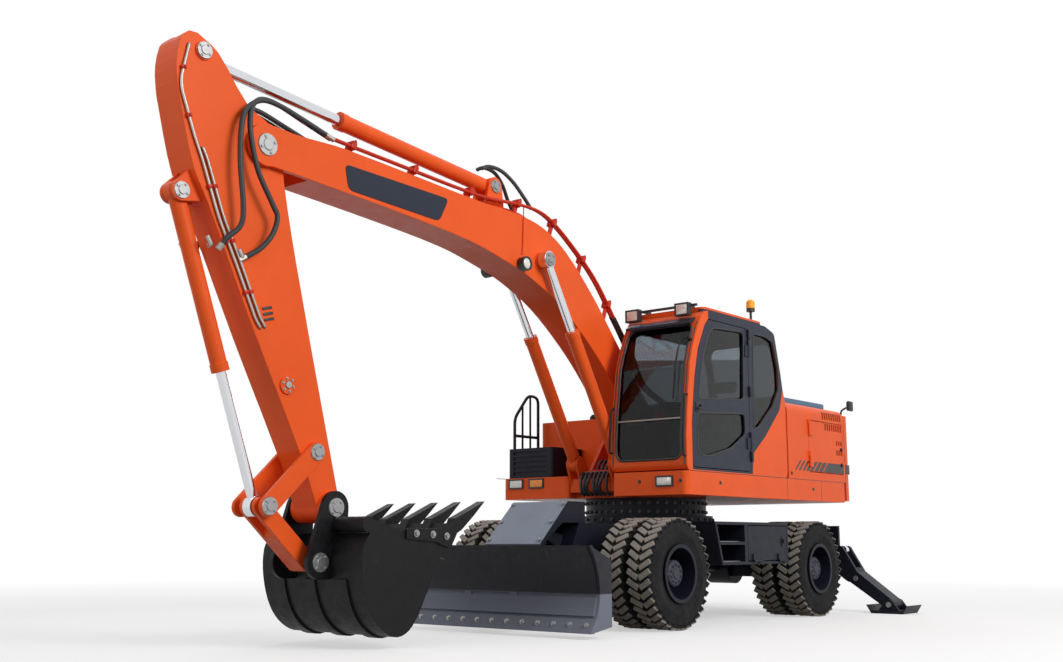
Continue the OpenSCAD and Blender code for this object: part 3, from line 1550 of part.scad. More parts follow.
bucket_back_shares = [[-0.02, -0.15], [0.032, -0.24], [0.030, -0.41], [-0.03, -0.59], [-0.13, -0.70],
  [-0.255, -0.745], [-0.37, -0.69], [-0.50, -0.48], [-0.645, -0.215]];
bucket_side_top_shares = [[-0.615, -0.135], [-0.48, -0.150], [-0.35, -0.145], [-0.18, -0.11], [-0.01, -0.06]];
bucket_side_t = 30;
lip_shares = [[-0.60, -0.285], [-0.735, -0.085], [-0.770, -0.110], [-0.650, -0.305]];
tooth_shares = [[-0.665, -0.185], [-0.735, -0.055], [-0.80, -0.030], [-1.0, 0.055], [-0.90, -0.035],
  [-0.79, -0.125]];
tooth_w = 90;
cutter_shares = [[-0.66, -0.235], [-0.700, -0.120], [-0.615, -0.115], [-0.30, -0.125], [-0.30, -0.180],
  [-0.55, -0.200]];
cutter_t = 18;
wear_t = 16;
wear_w = 110;
wear_y_shares = [-0.62, 0, 0.62];
tube_shares = [-0.01, -0.10];
tube_r = 62;
bucket_ear_r = 130;

function bucket_points(shares) = [for (s = shares) bucket_pin + bucket_r * s];

module bucket_solid() {
  polygon(concat(smooth(bucket_points(bucket_back_shares), 4), bucket_points(bucket_side_top_shares)));
}

module bucket_strip() {
  back = smooth(bucket_points(bucket_back_shares), 4);
  polygon(concat(back, reversed([for (i = [0 : len(back) - 1]) back[i] + bucket_t * inward(back, i)])));
}

// Strips welded along the outside of the back and floor
module wear_outline() {
  back = smooth(bucket_points(bucket_back_shares), 4);
  run = [for (i = [8 : len(back) - 5]) back[i]];
  polygon(concat(run, reversed([for (i = [0 : len(run) - 1]) run[i] - wear_t * inward(run, i)])));
}

// Unit vector to the inside of a curve at one of its points
function inward(p, i) = let (h = heading(p, i)) [h[1], -h[0]];

module bucket() {
  half_w = bucket_w / 2;
  color(black) on_machine() {
    slab(-half_w, half_w) bucket_strip();
    both_sides() slab(half_w - bucket_side_t, half_w) bucket_solid();
    both_sides() slab(ear_inner_y, ear_inner_y + ear_plate_t) hull() {
      translate(bucket_pin) circle(r = bucket_ear_r);
      translate(link_at) circle(r = bucket_ear_r);
      translate(link_at - [bucket_ear_r, 0]) circle(r = bucket_ear_r);
    }
    slab(-half_w, half_w) polygon(bucket_points(lip_shares));
    both_sides() slab(half_w - overrun, half_w + cutter_t) polygon(bucket_points(cutter_shares));
    for (share = wear_y_shares)
      slab(share * half_w - wear_w / 2, share * half_w + wear_w / 2) wear_outline();
    bar_y(bucket_pin[0] + bucket_r * tube_shares[0], bucket_pin[1] + bucket_r * tube_shares[1], tube_r,
      ear_inner_y, half_w);
    bar_y(bucket_pin[0] + bucket_r * tube_shares[0], bucket_pin[1] + bucket_r * tube_shares[1], tube_r,
      -half_w, -ear_inner_y);
    for (i = [0 : teeth - 1])
      translate([0, -half_w + i * (bucket_w - tooth_w) / (teeth - 1), 0]) slab(0, tooth_w)
        polygon(bucket_points(tooth_shares));
    bar_y(bucket_pin[0], bucket_pin[1], pin_r, -ear_inner_y - ear_plate_t, ear_inner_y + ear_plate_t);
    bar_y(link_at[0], link_at[1], pin_r, -ear_inner_y - ear_plate_t, ear_inner_y + ear_plate_t);
  }
}

// Boom, arm and bucket cylinders

boom_barrel_len = 1480;
boom_rod_len = 1540;
arm_barrel_len = 1930;
arm_rod_len = 1800;
bucket_barrel_len = 1380;
bucket_rod_len = 1450;

boom_cyl_foot = [boom_cyl_foot_x, boom_cyl_foot_z];
boom_rod_at = on_boom(boom_rod_shares);
arm_base_at = on_boom(arm_base_shares);
arm_rod_at = arm_point(arm_rod_shares);
bucket_base_at = arm_point(bucket_base_shares);

module boom_barrels() {
  color(orange) on_machine() both_sides() translate([0, boom_cyl_y, 0]) along(boom_cyl_foot, boom_rod_at)
    barrel(boom_barrel_len, boom_barrel_r, boom_rod_r, boom_eye_r, boom_eye_half_w, pin_r);
}

module boom_rods() {
  color(steel) on_machine() both_sides() translate([0, boom_cyl_y, 0]) along(boom_cyl_foot, boom_rod_at)
    translate([norm(boom_rod_at - boom_cyl_foot), 0, 0])
      rod(boom_rod_len, boom_rod_r, boom_eye_r, boom_eye_half_w, pin_r);
}

module arm_barrel() {
  color(orange) on_machine() along(arm_base_at, arm_rod_at)
    barrel(arm_barrel_len, arm_barrel_r, arm_rod_r, arm_eye_r, arm_eye_half_w, pin_r);
}

module arm_rod() {
  color(steel) on_machine() along(arm_base_at, arm_rod_at) translate([norm(arm_rod_at - arm_base_at), 0, 0])
    rod(arm_rod_len, arm_rod_r, arm_eye_r, arm_eye_half_w, pin_r);
}

module bucket_barrel() {
  color(orange) on_machine() along(bucket_base_at, yoke_at)
    barrel(bucket_barrel_len, bucket_barrel_r, bucket_rod_r, bucket_eye_r, bucket_eye_half_w, pin_r);
}

module bucket_rod() {
  color(steel) on_machine() along(bucket_base_at, yoke_at) translate([norm(yoke_at - bucket_base_at), 0, 0])
    rod(bucket_rod_len, bucket_rod_r, bucket_eye_r, bucket_eye_half_w, pin_r);
}

chassis_frame();
slew_ring();
front_axle();
rear_axle();
driveline();
stabiliser_box();
front_cover();
step_box_left();
step_box_right();
toolbox();
toolbox_lid();
knuckle_left();
knuckle_right();
wheel_front_left();
wheel_front_right();
wheel_rear_left();
wheel_rear_right();
tyres_front_left();
tyres_front_right();
tyres_rear_left();
tyres_rear_right();
blade();
blade_barrels();
blade_rods();
stabiliser_left();
stabiliser_right();
stabiliser_barrel_left();
stabiliser_barrel_right();
stabiliser_rod_left();
stabiliser_rod_right();
house_frame();
counterweight();
engine_block();
body_shell();
engine_hood();
side_door_left();
side_door_right();
tanks();
front_box();
handrails();
cab_frame();
cab_roof();
cab_glass();
seat();
console();
cab_door();
door_glass();
lamps();
boom();
boom_barrels();
boom_rods();
arm();
arm_barrel();
arm_rod();
bucket_barrel();
bucket_rod();
guide_links();
push_link();
bucket();
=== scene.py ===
"""Dresses the wheeled excavator: paint, rubber and glass on its parts, and pipes, hoses, bolts and trim."""
import math

import bmesh
import bpy
from mathutils import Matrix, Vector


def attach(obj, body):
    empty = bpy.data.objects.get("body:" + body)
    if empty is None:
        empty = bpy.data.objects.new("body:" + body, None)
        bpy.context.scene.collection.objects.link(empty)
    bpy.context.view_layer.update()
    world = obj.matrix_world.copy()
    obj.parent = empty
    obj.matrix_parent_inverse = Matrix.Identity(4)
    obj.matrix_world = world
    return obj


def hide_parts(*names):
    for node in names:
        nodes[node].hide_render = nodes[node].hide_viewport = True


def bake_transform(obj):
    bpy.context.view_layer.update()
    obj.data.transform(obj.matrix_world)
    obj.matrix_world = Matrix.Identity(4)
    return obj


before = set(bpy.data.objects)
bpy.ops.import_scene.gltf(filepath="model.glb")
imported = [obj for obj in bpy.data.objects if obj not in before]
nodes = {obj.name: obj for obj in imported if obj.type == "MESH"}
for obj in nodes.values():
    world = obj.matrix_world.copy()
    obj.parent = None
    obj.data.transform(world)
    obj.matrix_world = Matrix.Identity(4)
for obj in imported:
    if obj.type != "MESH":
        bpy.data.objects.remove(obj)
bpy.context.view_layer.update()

# Lengths are in millimetres from the slew axis, as in the part's source, until spot() turns them to metres
SLEW_BACK = 1620
BOOM_FOOT = (150, 1950)
BOOM_LEN = 5600
BOOM_ANGLE = math.radians(20.2)
ARM_LEN = 2900
ARM_ANGLE = math.radians(105.4)
BOOM_HALF_W = 190
ARM_HALF_W = 140
HOUSE_HALF_W = 1247
FRONT_AXLE_X = 1250
REAR_AXLE_X = -1600
AXLE_Z = 525
SIDES = ((1, "left"), (-1, "right"))
BOOM_TOP_SHARES = [(0, 0.036), (0.16, 0.118), (0.26, 0.168), (0.36, 0.205), (0.43, 0.212), (0.50, 0.198),
                   (0.588, 0.167), (0.874, 0.078), (0.96, 0.044), (1, 0.032)]


def frame_at(x, z, angle):
    """Turns millimetres along, across and above a line at an angle into metres in the part's frame."""
    return (Matrix.Translation(((x - SLEW_BACK) / 1000, 0, z / 1000)) @ Matrix.Rotation(-angle, 4, "Y")
            @ Matrix.Scale(0.001, 4))


BOOM_TIP = (BOOM_FOOT[0] + BOOM_LEN * math.cos(BOOM_ANGLE), BOOM_FOOT[1] + BOOM_LEN * math.sin(BOOM_ANGLE))
MACHINE = frame_at(0, 0, 0)
BOOM = frame_at(*BOOM_FOOT, BOOM_ANGLE)
ARM = frame_at(*BOOM_TIP, -ARM_ANGLE)


def spot(point, at=MACHINE):
    return at @ Vector(point)


def spots(points, at=MACHINE):
    return [at @ Vector(p) for p in points]


# Materials

def srgb(r, g, b):
    def linear(v):
        v /= 255
        return v / 12.92 if v <= 0.04045 else ((v + 0.055) / 1.055) ** 2.4
    return (linear(r), linear(g), linear(b), 1.0)


ORANGE = srgb(248, 96, 36)
NAVY = srgb(29, 31, 42)
SLATE = srgb(43, 48, 62)
SOOT = srgb(14, 14, 17)


class Finish:
    """A node material that starts from one shader and Object coordinates."""

    def __init__(self, name, colour, rough, metal=0.0, coat=0.0, gloss=0.5):
        self.material = bpy.data.materials.new(name)
        self.material.use_nodes = True
        self.tree = self.material.node_tree
        self.shader = self.tree.nodes["Principled BSDF"]
        self.set({"Base Color": colour, "Roughness": rough, "Metallic": metal, "Coat Weight": coat,
                  "Specular IOR Level": gloss, "Coat Roughness": 0.08})
        self.coords = self.tree.nodes.new("ShaderNodeTexCoord").outputs["Object"]

    def set(self, values):
        for key, value in values.items():
            self.shader.inputs[key].default_value = value

    def node(self, kind, **values):
        made = self.tree.nodes.new(kind)
        for key, value in values.items():
            if key in made.inputs:
                made.inputs[key].default_value = value
            else:
                setattr(made, key, value)
        return made

    def link(self, out, into):
        self.tree.links.new(out, into)

    def noise(self, scale, detail=3.0, rough=0.55):
        n = self.node("ShaderNodeTexNoise", Scale=scale, Detail=detail, Roughness=rough)
        self.link(self.coords, n.inputs["Vector"])
        return n.outputs["Fac"]

    def ramp(self, value, low, high, to_low=0.0, to_high=1.0):
        ends = {"From Min": low, "From Max": high, "To Min": to_low, "To Max": to_high}
        n = self.node("ShaderNodeMapRange", **ends)
        self.link(value, n.inputs["Value"])
        return n.outputs["Result"]

    def math(self, operation, a, b):
        n = self.node("ShaderNodeMath", operation=operation)
        for socket, v in zip(n.inputs, (a, b)):
            if isinstance(v, (int, float)):
                socket.default_value = v
            else:
                self.link(v, socket)
        return n.outputs["Value"]

    def above(self, a, b):
        return self.math("GREATER_THAN", a, b)

    def below(self, a, b):
        return self.math("LESS_THAN", a, b)

    def every(self, mask, *more):
        """One where all the masks are one."""
        for part in more:
            mask = self.math("MULTIPLY", mask, part)
        return mask

    def axes(self):
        n = self.node("ShaderNodeSeparateXYZ")
        self.link(self.coords, n.inputs["Vector"])
        return n.outputs["X"], n.outputs["Y"], n.outputs["Z"]

    def mix(self, share, a, b):
        n = self.node("ShaderNodeMix", data_type="RGBA")
        self.link(share, n.inputs["Factor"])
        for name, v in (("A", a), ("B", b)):
            socket = next(s for s in n.inputs if s.name == name and s.type == "RGBA")
            if isinstance(v, tuple):
                socket.default_value = v
            else:
                self.link(v, socket)
        return next(s for s in n.outputs if s.type == "RGBA")

    def colour(self, out):
        self.link(out, self.shader.inputs["Base Color"])

    def base(self):
        """What the colour is taken from so far."""
        into = self.shader.inputs["Base Color"]
        return next(l.from_socket for l in self.tree.links if l.to_socket == into)

    def recolour(self, mask, colour):
        self.colour(self.mix(mask, self.base(), colour))

    def rough(self, out):
        self.link(out, self.shader.inputs["Roughness"])

    def bump(self, height, strength, distance=0.002, rounding=0.0):
        n = self.node("ShaderNodeBump", Strength=strength, Distance=distance)
        self.link(height, n.inputs["Height"])
        if rounding:
            self.link(self.rounded_edges(rounding), n.inputs["Normal"])
        self.link(n.outputs["Normal"], self.shader.inputs["Normal"])

    def rounded_edges(self, radius):
        n = self.node("ShaderNodeBevel", Radius=radius, samples=4)
        return n.outputs["Normal"]


def shaded(colour, share):
    return tuple(c * share for c in colour[:3]) + (1.0,)


def paint(name, colour, rough=0.36, coat=0.03, grime=0.10, rounding=0.006, gloss=0.16):
    f = Finish(name, colour, rough, coat=coat, gloss=gloss)
    cloud = f.noise(1.7, 4.0)
    f.colour(f.mix(f.ramp(cloud, 0.35, 0.75), colour, shaded(colour, 1 - grime)))
    f.rough(f.ramp(f.noise(9.0, 4.0), 0.3, 0.7, rough - 0.05, rough + 0.08))
    f.bump(f.noise(240.0, 2.0), 0.03, 0.001, rounding)
    return f


def worn_paint(name, colour, bare, rough=0.45, wear=0.62):
    """Paint rubbed to bare metal in patches and fine scratches."""
    f = Finish(name, colour, rough, gloss=0.2)
    scratch = f.node("ShaderNodeTexNoise", Scale=1.0, Detail=6.0, Roughness=0.7)
    stretch = f.node("ShaderNodeMapping")
    stretch.inputs["Scale"].default_value = (6.0, 30.0, 4.0)
    f.link(f.coords, stretch.inputs["Vector"])
    f.link(stretch.outputs["Vector"], scratch.inputs["Vector"])
    patch = f.every(f.ramp(f.noise(3.0, 5.0), 0.4, 0.75), f.ramp(scratch.outputs["Fac"], wear, wear + 0.12))
    f.colour(f.mix(patch, colour, bare))
    f.rough(f.ramp(f.noise(12.0, 4.0), 0.3, 0.7, rough - 0.08, rough + 0.14))
    f.bump(f.noise(90.0, 4.0), 0.12, 0.002, 0.006)
    return f


orange_paint = paint("orange_paint", ORANGE)
navy_paint = paint("navy_paint", NAVY, 0.42, 0.02, 0.25)
slate_paint = paint("slate_paint", SLATE, 0.36, 0.05)
hub_paint = paint("hub_paint", srgb(66, 70, 80), 0.45, 0.02, 0.2)
hood_paint = paint("hood_paint", srgb(92, 124, 152), 0.4, 0.02, 0.2)
pipe_paint = paint("pipe_paint", srgb(206, 52, 28), 0.36, 0.05, 0.15, 0.003)
# Dark red-brown for the plates in the louvre slots: painted shade in their recesses
louvre_shade_paint = paint("louvre_painted_shade", srgb(96, 34, 20), 0.6, 0.0, 0.3, 0.0)
stripe_paint = paint("stripe_paint", srgb(62, 56, 56), 0.4, 0.3, 0.1, 0.0)
bucket_paint = worn_paint("bucket_paint", SOOT, srgb(92, 92, 96))
black_paint = paint("black_paint", srgb(26, 26, 29), 0.38, 0.05, 0.2, 0.003)


def mouldboard_paint():
    """Dark upper band, and a lighter lower band: painted light where the hollow face looks up."""
    f = worn_paint("mouldboard_paint", srgb(38, 39, 45), srgb(108, 110, 116), 0.42, 0.6)
    z = f.axes()[2]
    edge = f.math("ADD", z, f.ramp(f.noise(4.0, 3.0), 0.0, 1.0, -0.003, 0.003))
    # Painted light: the lower band lies below where the hollow face turns from looking up to looking down
    band = f.ramp(edge, 0.373, 0.377)
    f.colour(f.mix(band, srgb(116, 120, 134), f.base()))
    return f


blade_paint = mouldboard_paint()


CAB_FRONT = [(1110, 1500), (1110, 1825), (1082, 2108), (1019, 2546), (956, 2730), (853, 2950), (777, 3068),
             (686, 3125)]
CAB_REAR = [(-910, 1500), (-910, 2312), (-859, 2467), (-819, 2654), (-708, 3068), (-506, 3125)]
CAB_SKIN_T = 0.03
DARK_FRAME_REAR = [(-151, 1506), (-183, 1732), (-452, 1929), (-776, 2232), (-859, 2467)]
DARK_FRAME_FRONT = [(1003, 1500), (1003, 1971), (944, 2410), (864, 2712), (728, 2967), (655, 3044)]


def cab_skin():
    """Orange cab, dark inside, with a dark frame round the door and the quarter window on its left side."""
    f = paint("cab_skin", ORANGE)
    x, y, z = f.axes()

    def edge(points):
        """The edge's x at the height of the shaded point, from straight runs between points."""
        at = (points[0][0] - SLEW_BACK) / 1000
        for (x0, z0), (x1, z1) in zip(points, points[1:]):
            at = f.math("ADD", f.ramp(z, z0 / 1000, z1 / 1000, 0, (x1 - x0) / 1000), at)
        return at
    door_frame = f.every(f.ramp(y, 1.236, 1.240), f.above(x, edge(DARK_FRAME_REAR)),
                         f.below(x, edge(DARK_FRAME_FRONT)), f.above(z, 1.512))
    lining = f.every(f.below(z, 3.1), f.above(y, 0.372), f.below(y, 1.222),
                     f.above(x, f.math("ADD", edge(CAB_REAR), CAB_SKIN_T)),
                     f.below(x, f.math("SUBTRACT", edge(CAB_FRONT), CAB_SKIN_T)))
    f.recolour(door_frame, SLATE)
    f.recolour(lining, SOOT)
    return f


def roof_skin():
    """Orange roof, dark beneath and along the foot of its left edge."""
    f = paint("roof_skin", ORANGE)
    _, y, z = f.axes()
    side = f.every(f.above(y, 1.15), f.below(z, 3.150))
    f.recolour(f.math("MAXIMUM", side, f.below(z, 3.1255)), SLATE)
    return f


def cover_skin():
    """Pale sloped cover with dark sides."""
    f = paint("cover_skin", srgb(140, 150, 166), 0.4, 0.02, 0.2)
    y = f.axes()[1]
    f.recolour(f.above(f.math("ABSOLUTE", y, 0.0), 0.343), NAVY)
    return f


cab_paint = cab_skin()
roof_paint = roof_skin()
cover_paint = cover_skin()


def bright_metal(name, colour, rough):
    f = Finish(name, colour, rough, metal=1.0)
    f.rough(f.ramp(f.noise(40.0, 3.0), 0.3, 0.7, rough - 0.03, rough + 0.06))
    f.bump(f.noise(500.0, 2.0), 0.02, 0.0005, 0.003)
    return f


dark_steel = bright_metal("dark_steel", srgb(74, 74, 78), 0.5)
rod_chrome = bright_metal("rod_chrome", srgb(214, 216, 220), 0.12)
pin_steel = bright_metal("pin_steel", srgb(150, 150, 150), 0.42)
zinc_steel = bright_metal("zinc_steel", srgb(164, 160, 154), 0.4)


def tread_rubber(name, axle_x):
    """Black rubber, dusty grey-brown where the lugs wear."""
    f = Finish(name, srgb(32, 32, 35), 0.8, gloss=0.2)
    x, _, z = f.axes()
    dx = f.math("SUBTRACT", x, (axle_x - SLEW_BACK) / 1000)
    dz = f.math("SUBTRACT", z, AXLE_Z / 1000)
    r = f.math("POWER", f.math("ADD", f.math("POWER", dx, 2.0), f.math("POWER", dz, 2.0)), 0.5)
    dust = f.math("ADD", r, f.ramp(f.noise(14.0, 4.0), 0.2, 0.8, -0.012, 0.012))
    top = f.ramp(dust, 0.500, 0.520)
    wall = f.mix(f.ramp(f.noise(6.0, 4.0), 0.4, 0.7), srgb(20, 20, 23), srgb(36, 35, 35))
    f.colour(f.mix(top, wall, srgb(150, 144, 135)))
    f.rough(f.ramp(f.noise(20.0, 3.0), 0.3, 0.7, 0.7, 0.9))
    f.bump(f.noise(120.0, 4.0), 0.2, 0.002, 0.006)
    return f


front_rubber = tread_rubber("front_rubber", FRONT_AXLE_X)
rear_rubber = tread_rubber("rear_rubber", REAR_AXLE_X)


def hose_rubber():
    f = Finish("hose_rubber", srgb(30, 31, 34), 0.55)
    f.colour(f.mix(f.noise(30.0, 4.0), srgb(24, 25, 28), srgb(46, 47, 50)))
    f.bump(f.noise(400.0, 2.0), 0.15, 0.001)
    return f


def moulded_plastic(name, colour):
    f = Finish(name, colour, 0.5)
    f.colour(f.mix(f.noise(3.0, 3.0), colour, shaded(colour, 0.8)))
    f.bump(f.noise(700.0, 2.0), 0.12, 0.0008)
    return f


hose_black = hose_rubber()
trim_plastic = moulded_plastic("trim_plastic", srgb(30, 30, 33))
console_plastic = moulded_plastic("console_plastic", srgb(52, 54, 60))


def tinted_pane(name, tint):
    f = Finish(name, tint, 0.02)
    f.set({"Transmission Weight": 1.0, "IOR": 1.3})
    f.colour(f.mix(f.noise(0.8, 2.0), tint, shaded(tint, 0.9)))
    return f


def lens(name, colour, rough=0.12, mirror=0.1):
    """A ribbed lens with the reflector's shine behind it."""
    f = Finish(name, colour, rough, metal=mirror, coat=0.3)
    wave = f.node("ShaderNodeTexWave", Scale=40.0)
    f.link(f.coords, wave.inputs["Vector"])
    f.colour(f.mix(wave.outputs["Fac"], colour, shaded(colour, 0.86)))
    f.bump(wave.outputs["Fac"], 0.2, 0.001)
    return f


cab_pane = tinted_pane("cab_pane", srgb(118, 124, 128))
lamp_lens = lens("lamp_lens", srgb(238, 238, 232))
red_lens = lens("red_lens", srgb(180, 20, 16), 0.2, 0.1)
amber_lens = lens("amber_lens", srgb(255, 150, 20), 0.2, 0.1)


def lamp_shells():
    """Black shells, with an amber cap on the beacon."""
    f = moulded_plastic("lamp_shells", srgb(32, 33, 36))
    x, _, z = f.axes()
    f.recolour(f.every(f.above(z, 3.312), f.below(x, -1.8)), srgb(255, 176, 20))
    return f


def seat_cloth():
    f = Finish("seat_cloth", srgb(36, 37, 42), 0.85)
    f.set({"Sheen Weight": 0.4})
    weave = f.node("ShaderNodeTexChecker", Scale=260.0)
    f.link(f.coords, weave.inputs["Vector"])
    f.colour(f.mix(weave.outputs["Fac"], srgb(30, 31, 35), srgb(52, 54, 60)))
    f.bump(f.noise(600.0, 3.0), 0.3, 0.001)
    return f


seat_fabric = seat_cloth()
lamp_shell = lamp_shells()


def pair(*names):
    return [f"{name}_{word}" for name in names for _, word in SIDES]


NODE_FINISH = {
    orange_paint: ("house_frame", "counterweight", "body_shell", *pair("side_door"), "tanks", "boom",
                   "boom_barrels", "arm", "arm_barrel", "bucket_barrel", "guide_links", "push_link"),
    cab_paint: ("cab_frame",),
    roof_paint: ("cab_roof",),
    navy_paint: ("chassis_frame", "slew_ring", "front_axle", "rear_axle", "driveline", "toolbox",
                 "toolbox_lid", "stabiliser_box", "blade_barrels", "front_box", "engine_block",
                 *pair("step_box", "knuckle", "wheel_front", "wheel_rear"),
                 *pair("stabiliser", "stabiliser_barrel")),
    slate_paint: ("cab_door",),
    hood_paint: ("engine_hood",),
    cover_paint: ("front_cover",),
    blade_paint: ("blade",),
    bucket_paint: ("bucket",),
    black_paint: ("handrails",),
    rod_chrome: ("blade_rods", *pair("stabiliser_rod"), "boom_rods", "arm_rod", "bucket_rod"),
    front_rubber: pair("tyres_front"),
    rear_rubber: pair("tyres_rear"),
    cab_pane: ("cab_glass", "door_glass"),
    console_plastic: ("console",),
    seat_fabric: ("seat",),
    lamp_shell: ("lamps",),
}
for finish, names in NODE_FINISH.items():
    for n in names:
        nodes[n].data.materials.clear()
        nodes[n].data.materials.append(finish.material)


# Stage, light and camera

def seen_rays(tree):
    """One for rays that show a surface to the camera, in a mirror or through glass."""
    rays = tree.nodes.new("ShaderNodeLightPath")
    seen = rays.outputs["Is Camera Ray"]
    for name in ("Is Glossy Ray", "Is Transmission Ray"):
        most = tree.nodes.new("ShaderNodeMath")
        most.operation = "MAXIMUM"
        tree.links.new(seen, most.inputs[0])
        tree.links.new(rays.outputs[name], most.inputs[1])
        seen = most.outputs["Value"]
    return seen


def floor_finish():
    """Near white with a soft shadow to the eye, and dark to the light that it throws back up."""
    f = Finish("pale_floor", (0.9, 0.9, 0.9, 1.0), 0.9)
    seen = seen_rays(f.tree)
    f.colour(f.mix(seen, (0.22, 0.21, 0.20, 1.0), (0.94, 0.94, 0.94, 1.0)))
    far = f.node("ShaderNodeVectorMath", operation="LENGTH")
    f.link(f.coords, far.inputs[0])
    glow = f.node("ShaderNodeEmission", Color=(1, 1, 1, 1), Strength=1.0)
    blend = f.node("ShaderNodeMixShader")
    f.link(f.math("MULTIPLY", seen, f.ramp(far.outputs["Value"], 6.5, 16.0, 0.5, 1.0)), blend.inputs["Fac"])
    f.link(f.shader.outputs["BSDF"], blend.inputs[1])
    f.link(glow.outputs["Emission"], blend.inputs[2])
    f.link(blend.outputs["Shader"], f.tree.nodes["Material Output"].inputs["Surface"])
    return f


def studio():
    bm = bmesh.new()
    bmesh.ops.create_grid(bm, x_segments=1, y_segments=1, size=120)
    mesh = bpy.data.meshes.new("floor")
    bm.to_mesh(mesh)
    bm.free()
    floor = bpy.data.objects.new("floor", mesh)
    bpy.context.scene.collection.objects.link(floor)
    floor.location.z = -0.001
    mesh.materials.append(floor_finish().material)

    world = bpy.data.worlds.new("studio")
    world.use_nodes = True
    bpy.context.scene.world = world
    tree = world.node_tree
    sky = tree.nodes["Background"]
    sky.inputs["Color"].default_value = (1, 1, 1, 1)
    sky.inputs["Strength"].default_value = 0.42
    white = tree.nodes.new("ShaderNodeBackground")
    white.inputs["Color"].default_value = (1, 1, 1, 1)
    white.inputs["Strength"].default_value = 1.0
    pick = tree.nodes.new("ShaderNodeMixShader")
    tree.links.new(seen_rays(tree), pick.inputs["Fac"])
    tree.links.new(sky.outputs["Background"], pick.inputs[1])
    tree.links.new(white.outputs["Background"], pick.inputs[2])
    tree.links.new(pick.outputs["Shader"], tree.nodes["World Output"].inputs["Surface"])
    bpy.context.scene.view_settings.view_transform = "Standard"


def softbox(name, place, aim, size, power):
    light = bpy.data.lights.new(name, "AREA")
    light.shape = "SQUARE"
    light.size = size
    light.energy = power
    obj = bpy.data.objects.new(name, light)
    obj.location = place
    obj.rotation_euler = (Vector(aim) - Vector(place)).to_track_quat("-Z", "Y").to_euler()
    bpy.context.scene.collection.objects.link(obj)


# Solved from the photograph
FOCAL_PX = 1213.4
PHOTO_W = 1063
CAMERA_AT = (11081, 7604, 827)
CAMERA_YAW = math.radians(219.79)
CAMERA_PITCH = math.radians(9.82)


def camera():
    cam = bpy.data.cameras.new("camera")
    cam.sensor_width = 36
    cam.lens = cam.sensor_width * FOCAL_PX / PHOTO_W
    cam.clip_end = 300
    obj = bpy.data.objects.new("camera", cam)
    yaw, pitch = CAMERA_YAW, CAMERA_PITCH
    aim = Vector((math.cos(pitch) * math.cos(yaw), math.cos(pitch) * math.sin(yaw), math.sin(pitch)))
    obj.location = spot(CAMERA_AT)
    obj.rotation_euler = aim.to_track_quat("-Z", "Y").to_euler()
    bpy.context.scene.collection.objects.link(obj)
    bpy.context.scene.camera = obj


studio()
softbox("key", (1.0, 14.0, 9.0), (0, 0, 1.5), 7, 1500)
softbox("front_fill", (14.0, -2.0, 6.0), (0, 0, 1.5), 6, 260)
softbox("rear_fill", (-11.0, -8.0, 8.0), (0, 0, 1.5), 7, 500)
camera()


# Shapes

def box(bm, low, high, at=MACHINE):
    a, b = Vector(low), Vector(high)
    m = at @ Matrix.Translation((a + b) / 2) @ Matrix.Diagonal((*(b - a), 1))
    return bmesh.ops.create_cube(bm, size=1, matrix=m)["verts"]


def facing(a, b):
    """Turns +Z on to the line from a to b, at a."""
    return Matrix.Translation(a) @ (b - a).to_track_quat("Z", "Y").to_matrix().to_4x4()


def bar(bm, a, b, r, r_end=None, sides=20):
    m = facing(a, b) @ Matrix.Translation((0, 0, (b - a).length / 2))
    far = r if r_end is None else r_end
    return bmesh.ops.create_cone(bm, cap_ends=True, segments=sides, radius1=r / 1000, radius2=far / 1000,
                                 depth=(b - a).length, matrix=m)["verts"]


def bolt(bm, at, out, r=14, head=10):
    """A hexagon head on its washer, standing out of a face."""
    n = Vector(out).normalized()
    bar(bm, at - n * 0.002, at + n * 0.004, 1.5 * r, sides=16)
    bar(bm, at + n * 0.004, at + n * (0.004 + head / 1000), r, sides=6)


def bolt_circle(bm, centre, side, circle_r, count, r, head, at=MACHINE, start=0.0):
    """Bolts on a circle round a centre, in a face that looks left or right."""
    x, y, z = centre
    for i in range(count):
        turn = 2 * math.pi * (i + start) / count
        place = (x + circle_r * math.cos(turn), y, z + circle_r * math.sin(turn))
        bolt(bm, spot(place, at), (0, side, 0), r, head)


def curve_through(points, steps=6):
    """Points on a smooth curve through the given ones."""
    p = [points[0]] + list(points) + [points[-1]]
    made = []
    for i in range(1, len(p) - 2):
        for k in range(steps):
            t = k / steps
            a, b, c, d = p[i - 1], p[i], p[i + 1], p[i + 2]
            made.append(0.5 * (2 * b + (c - a) * t + (2 * a - 5 * b + 4 * c - d) * t * t
                               + (3 * b - a - 3 * c + d) * t ** 3))
    return made + [points[-1]]


def arc(a, b, c, radius, steps):
    """The bend that replaces corner b between a and c."""
    cut = min(radius, 0.45 * (b - a).length, 0.45 * (c - b).length)
    p, q = b + (a - b).normalized() * cut, b + (c - b).normalized() * cut
    shares = [k / steps for k in range(steps + 1)]
    return [(1 - t) ** 2 * p + 2 * t * (1 - t) * b + t * t * q for t in shares]


def bent(points, radius=40, steps=4):
    """The corners of a run of pipe, each turned into a bend."""
    made = [points[0]]
    for a, b, c in zip(points, points[1:], points[2:]):
        made += arc(a, b, c, radius / 1000, steps)
    return made + [points[-1]]


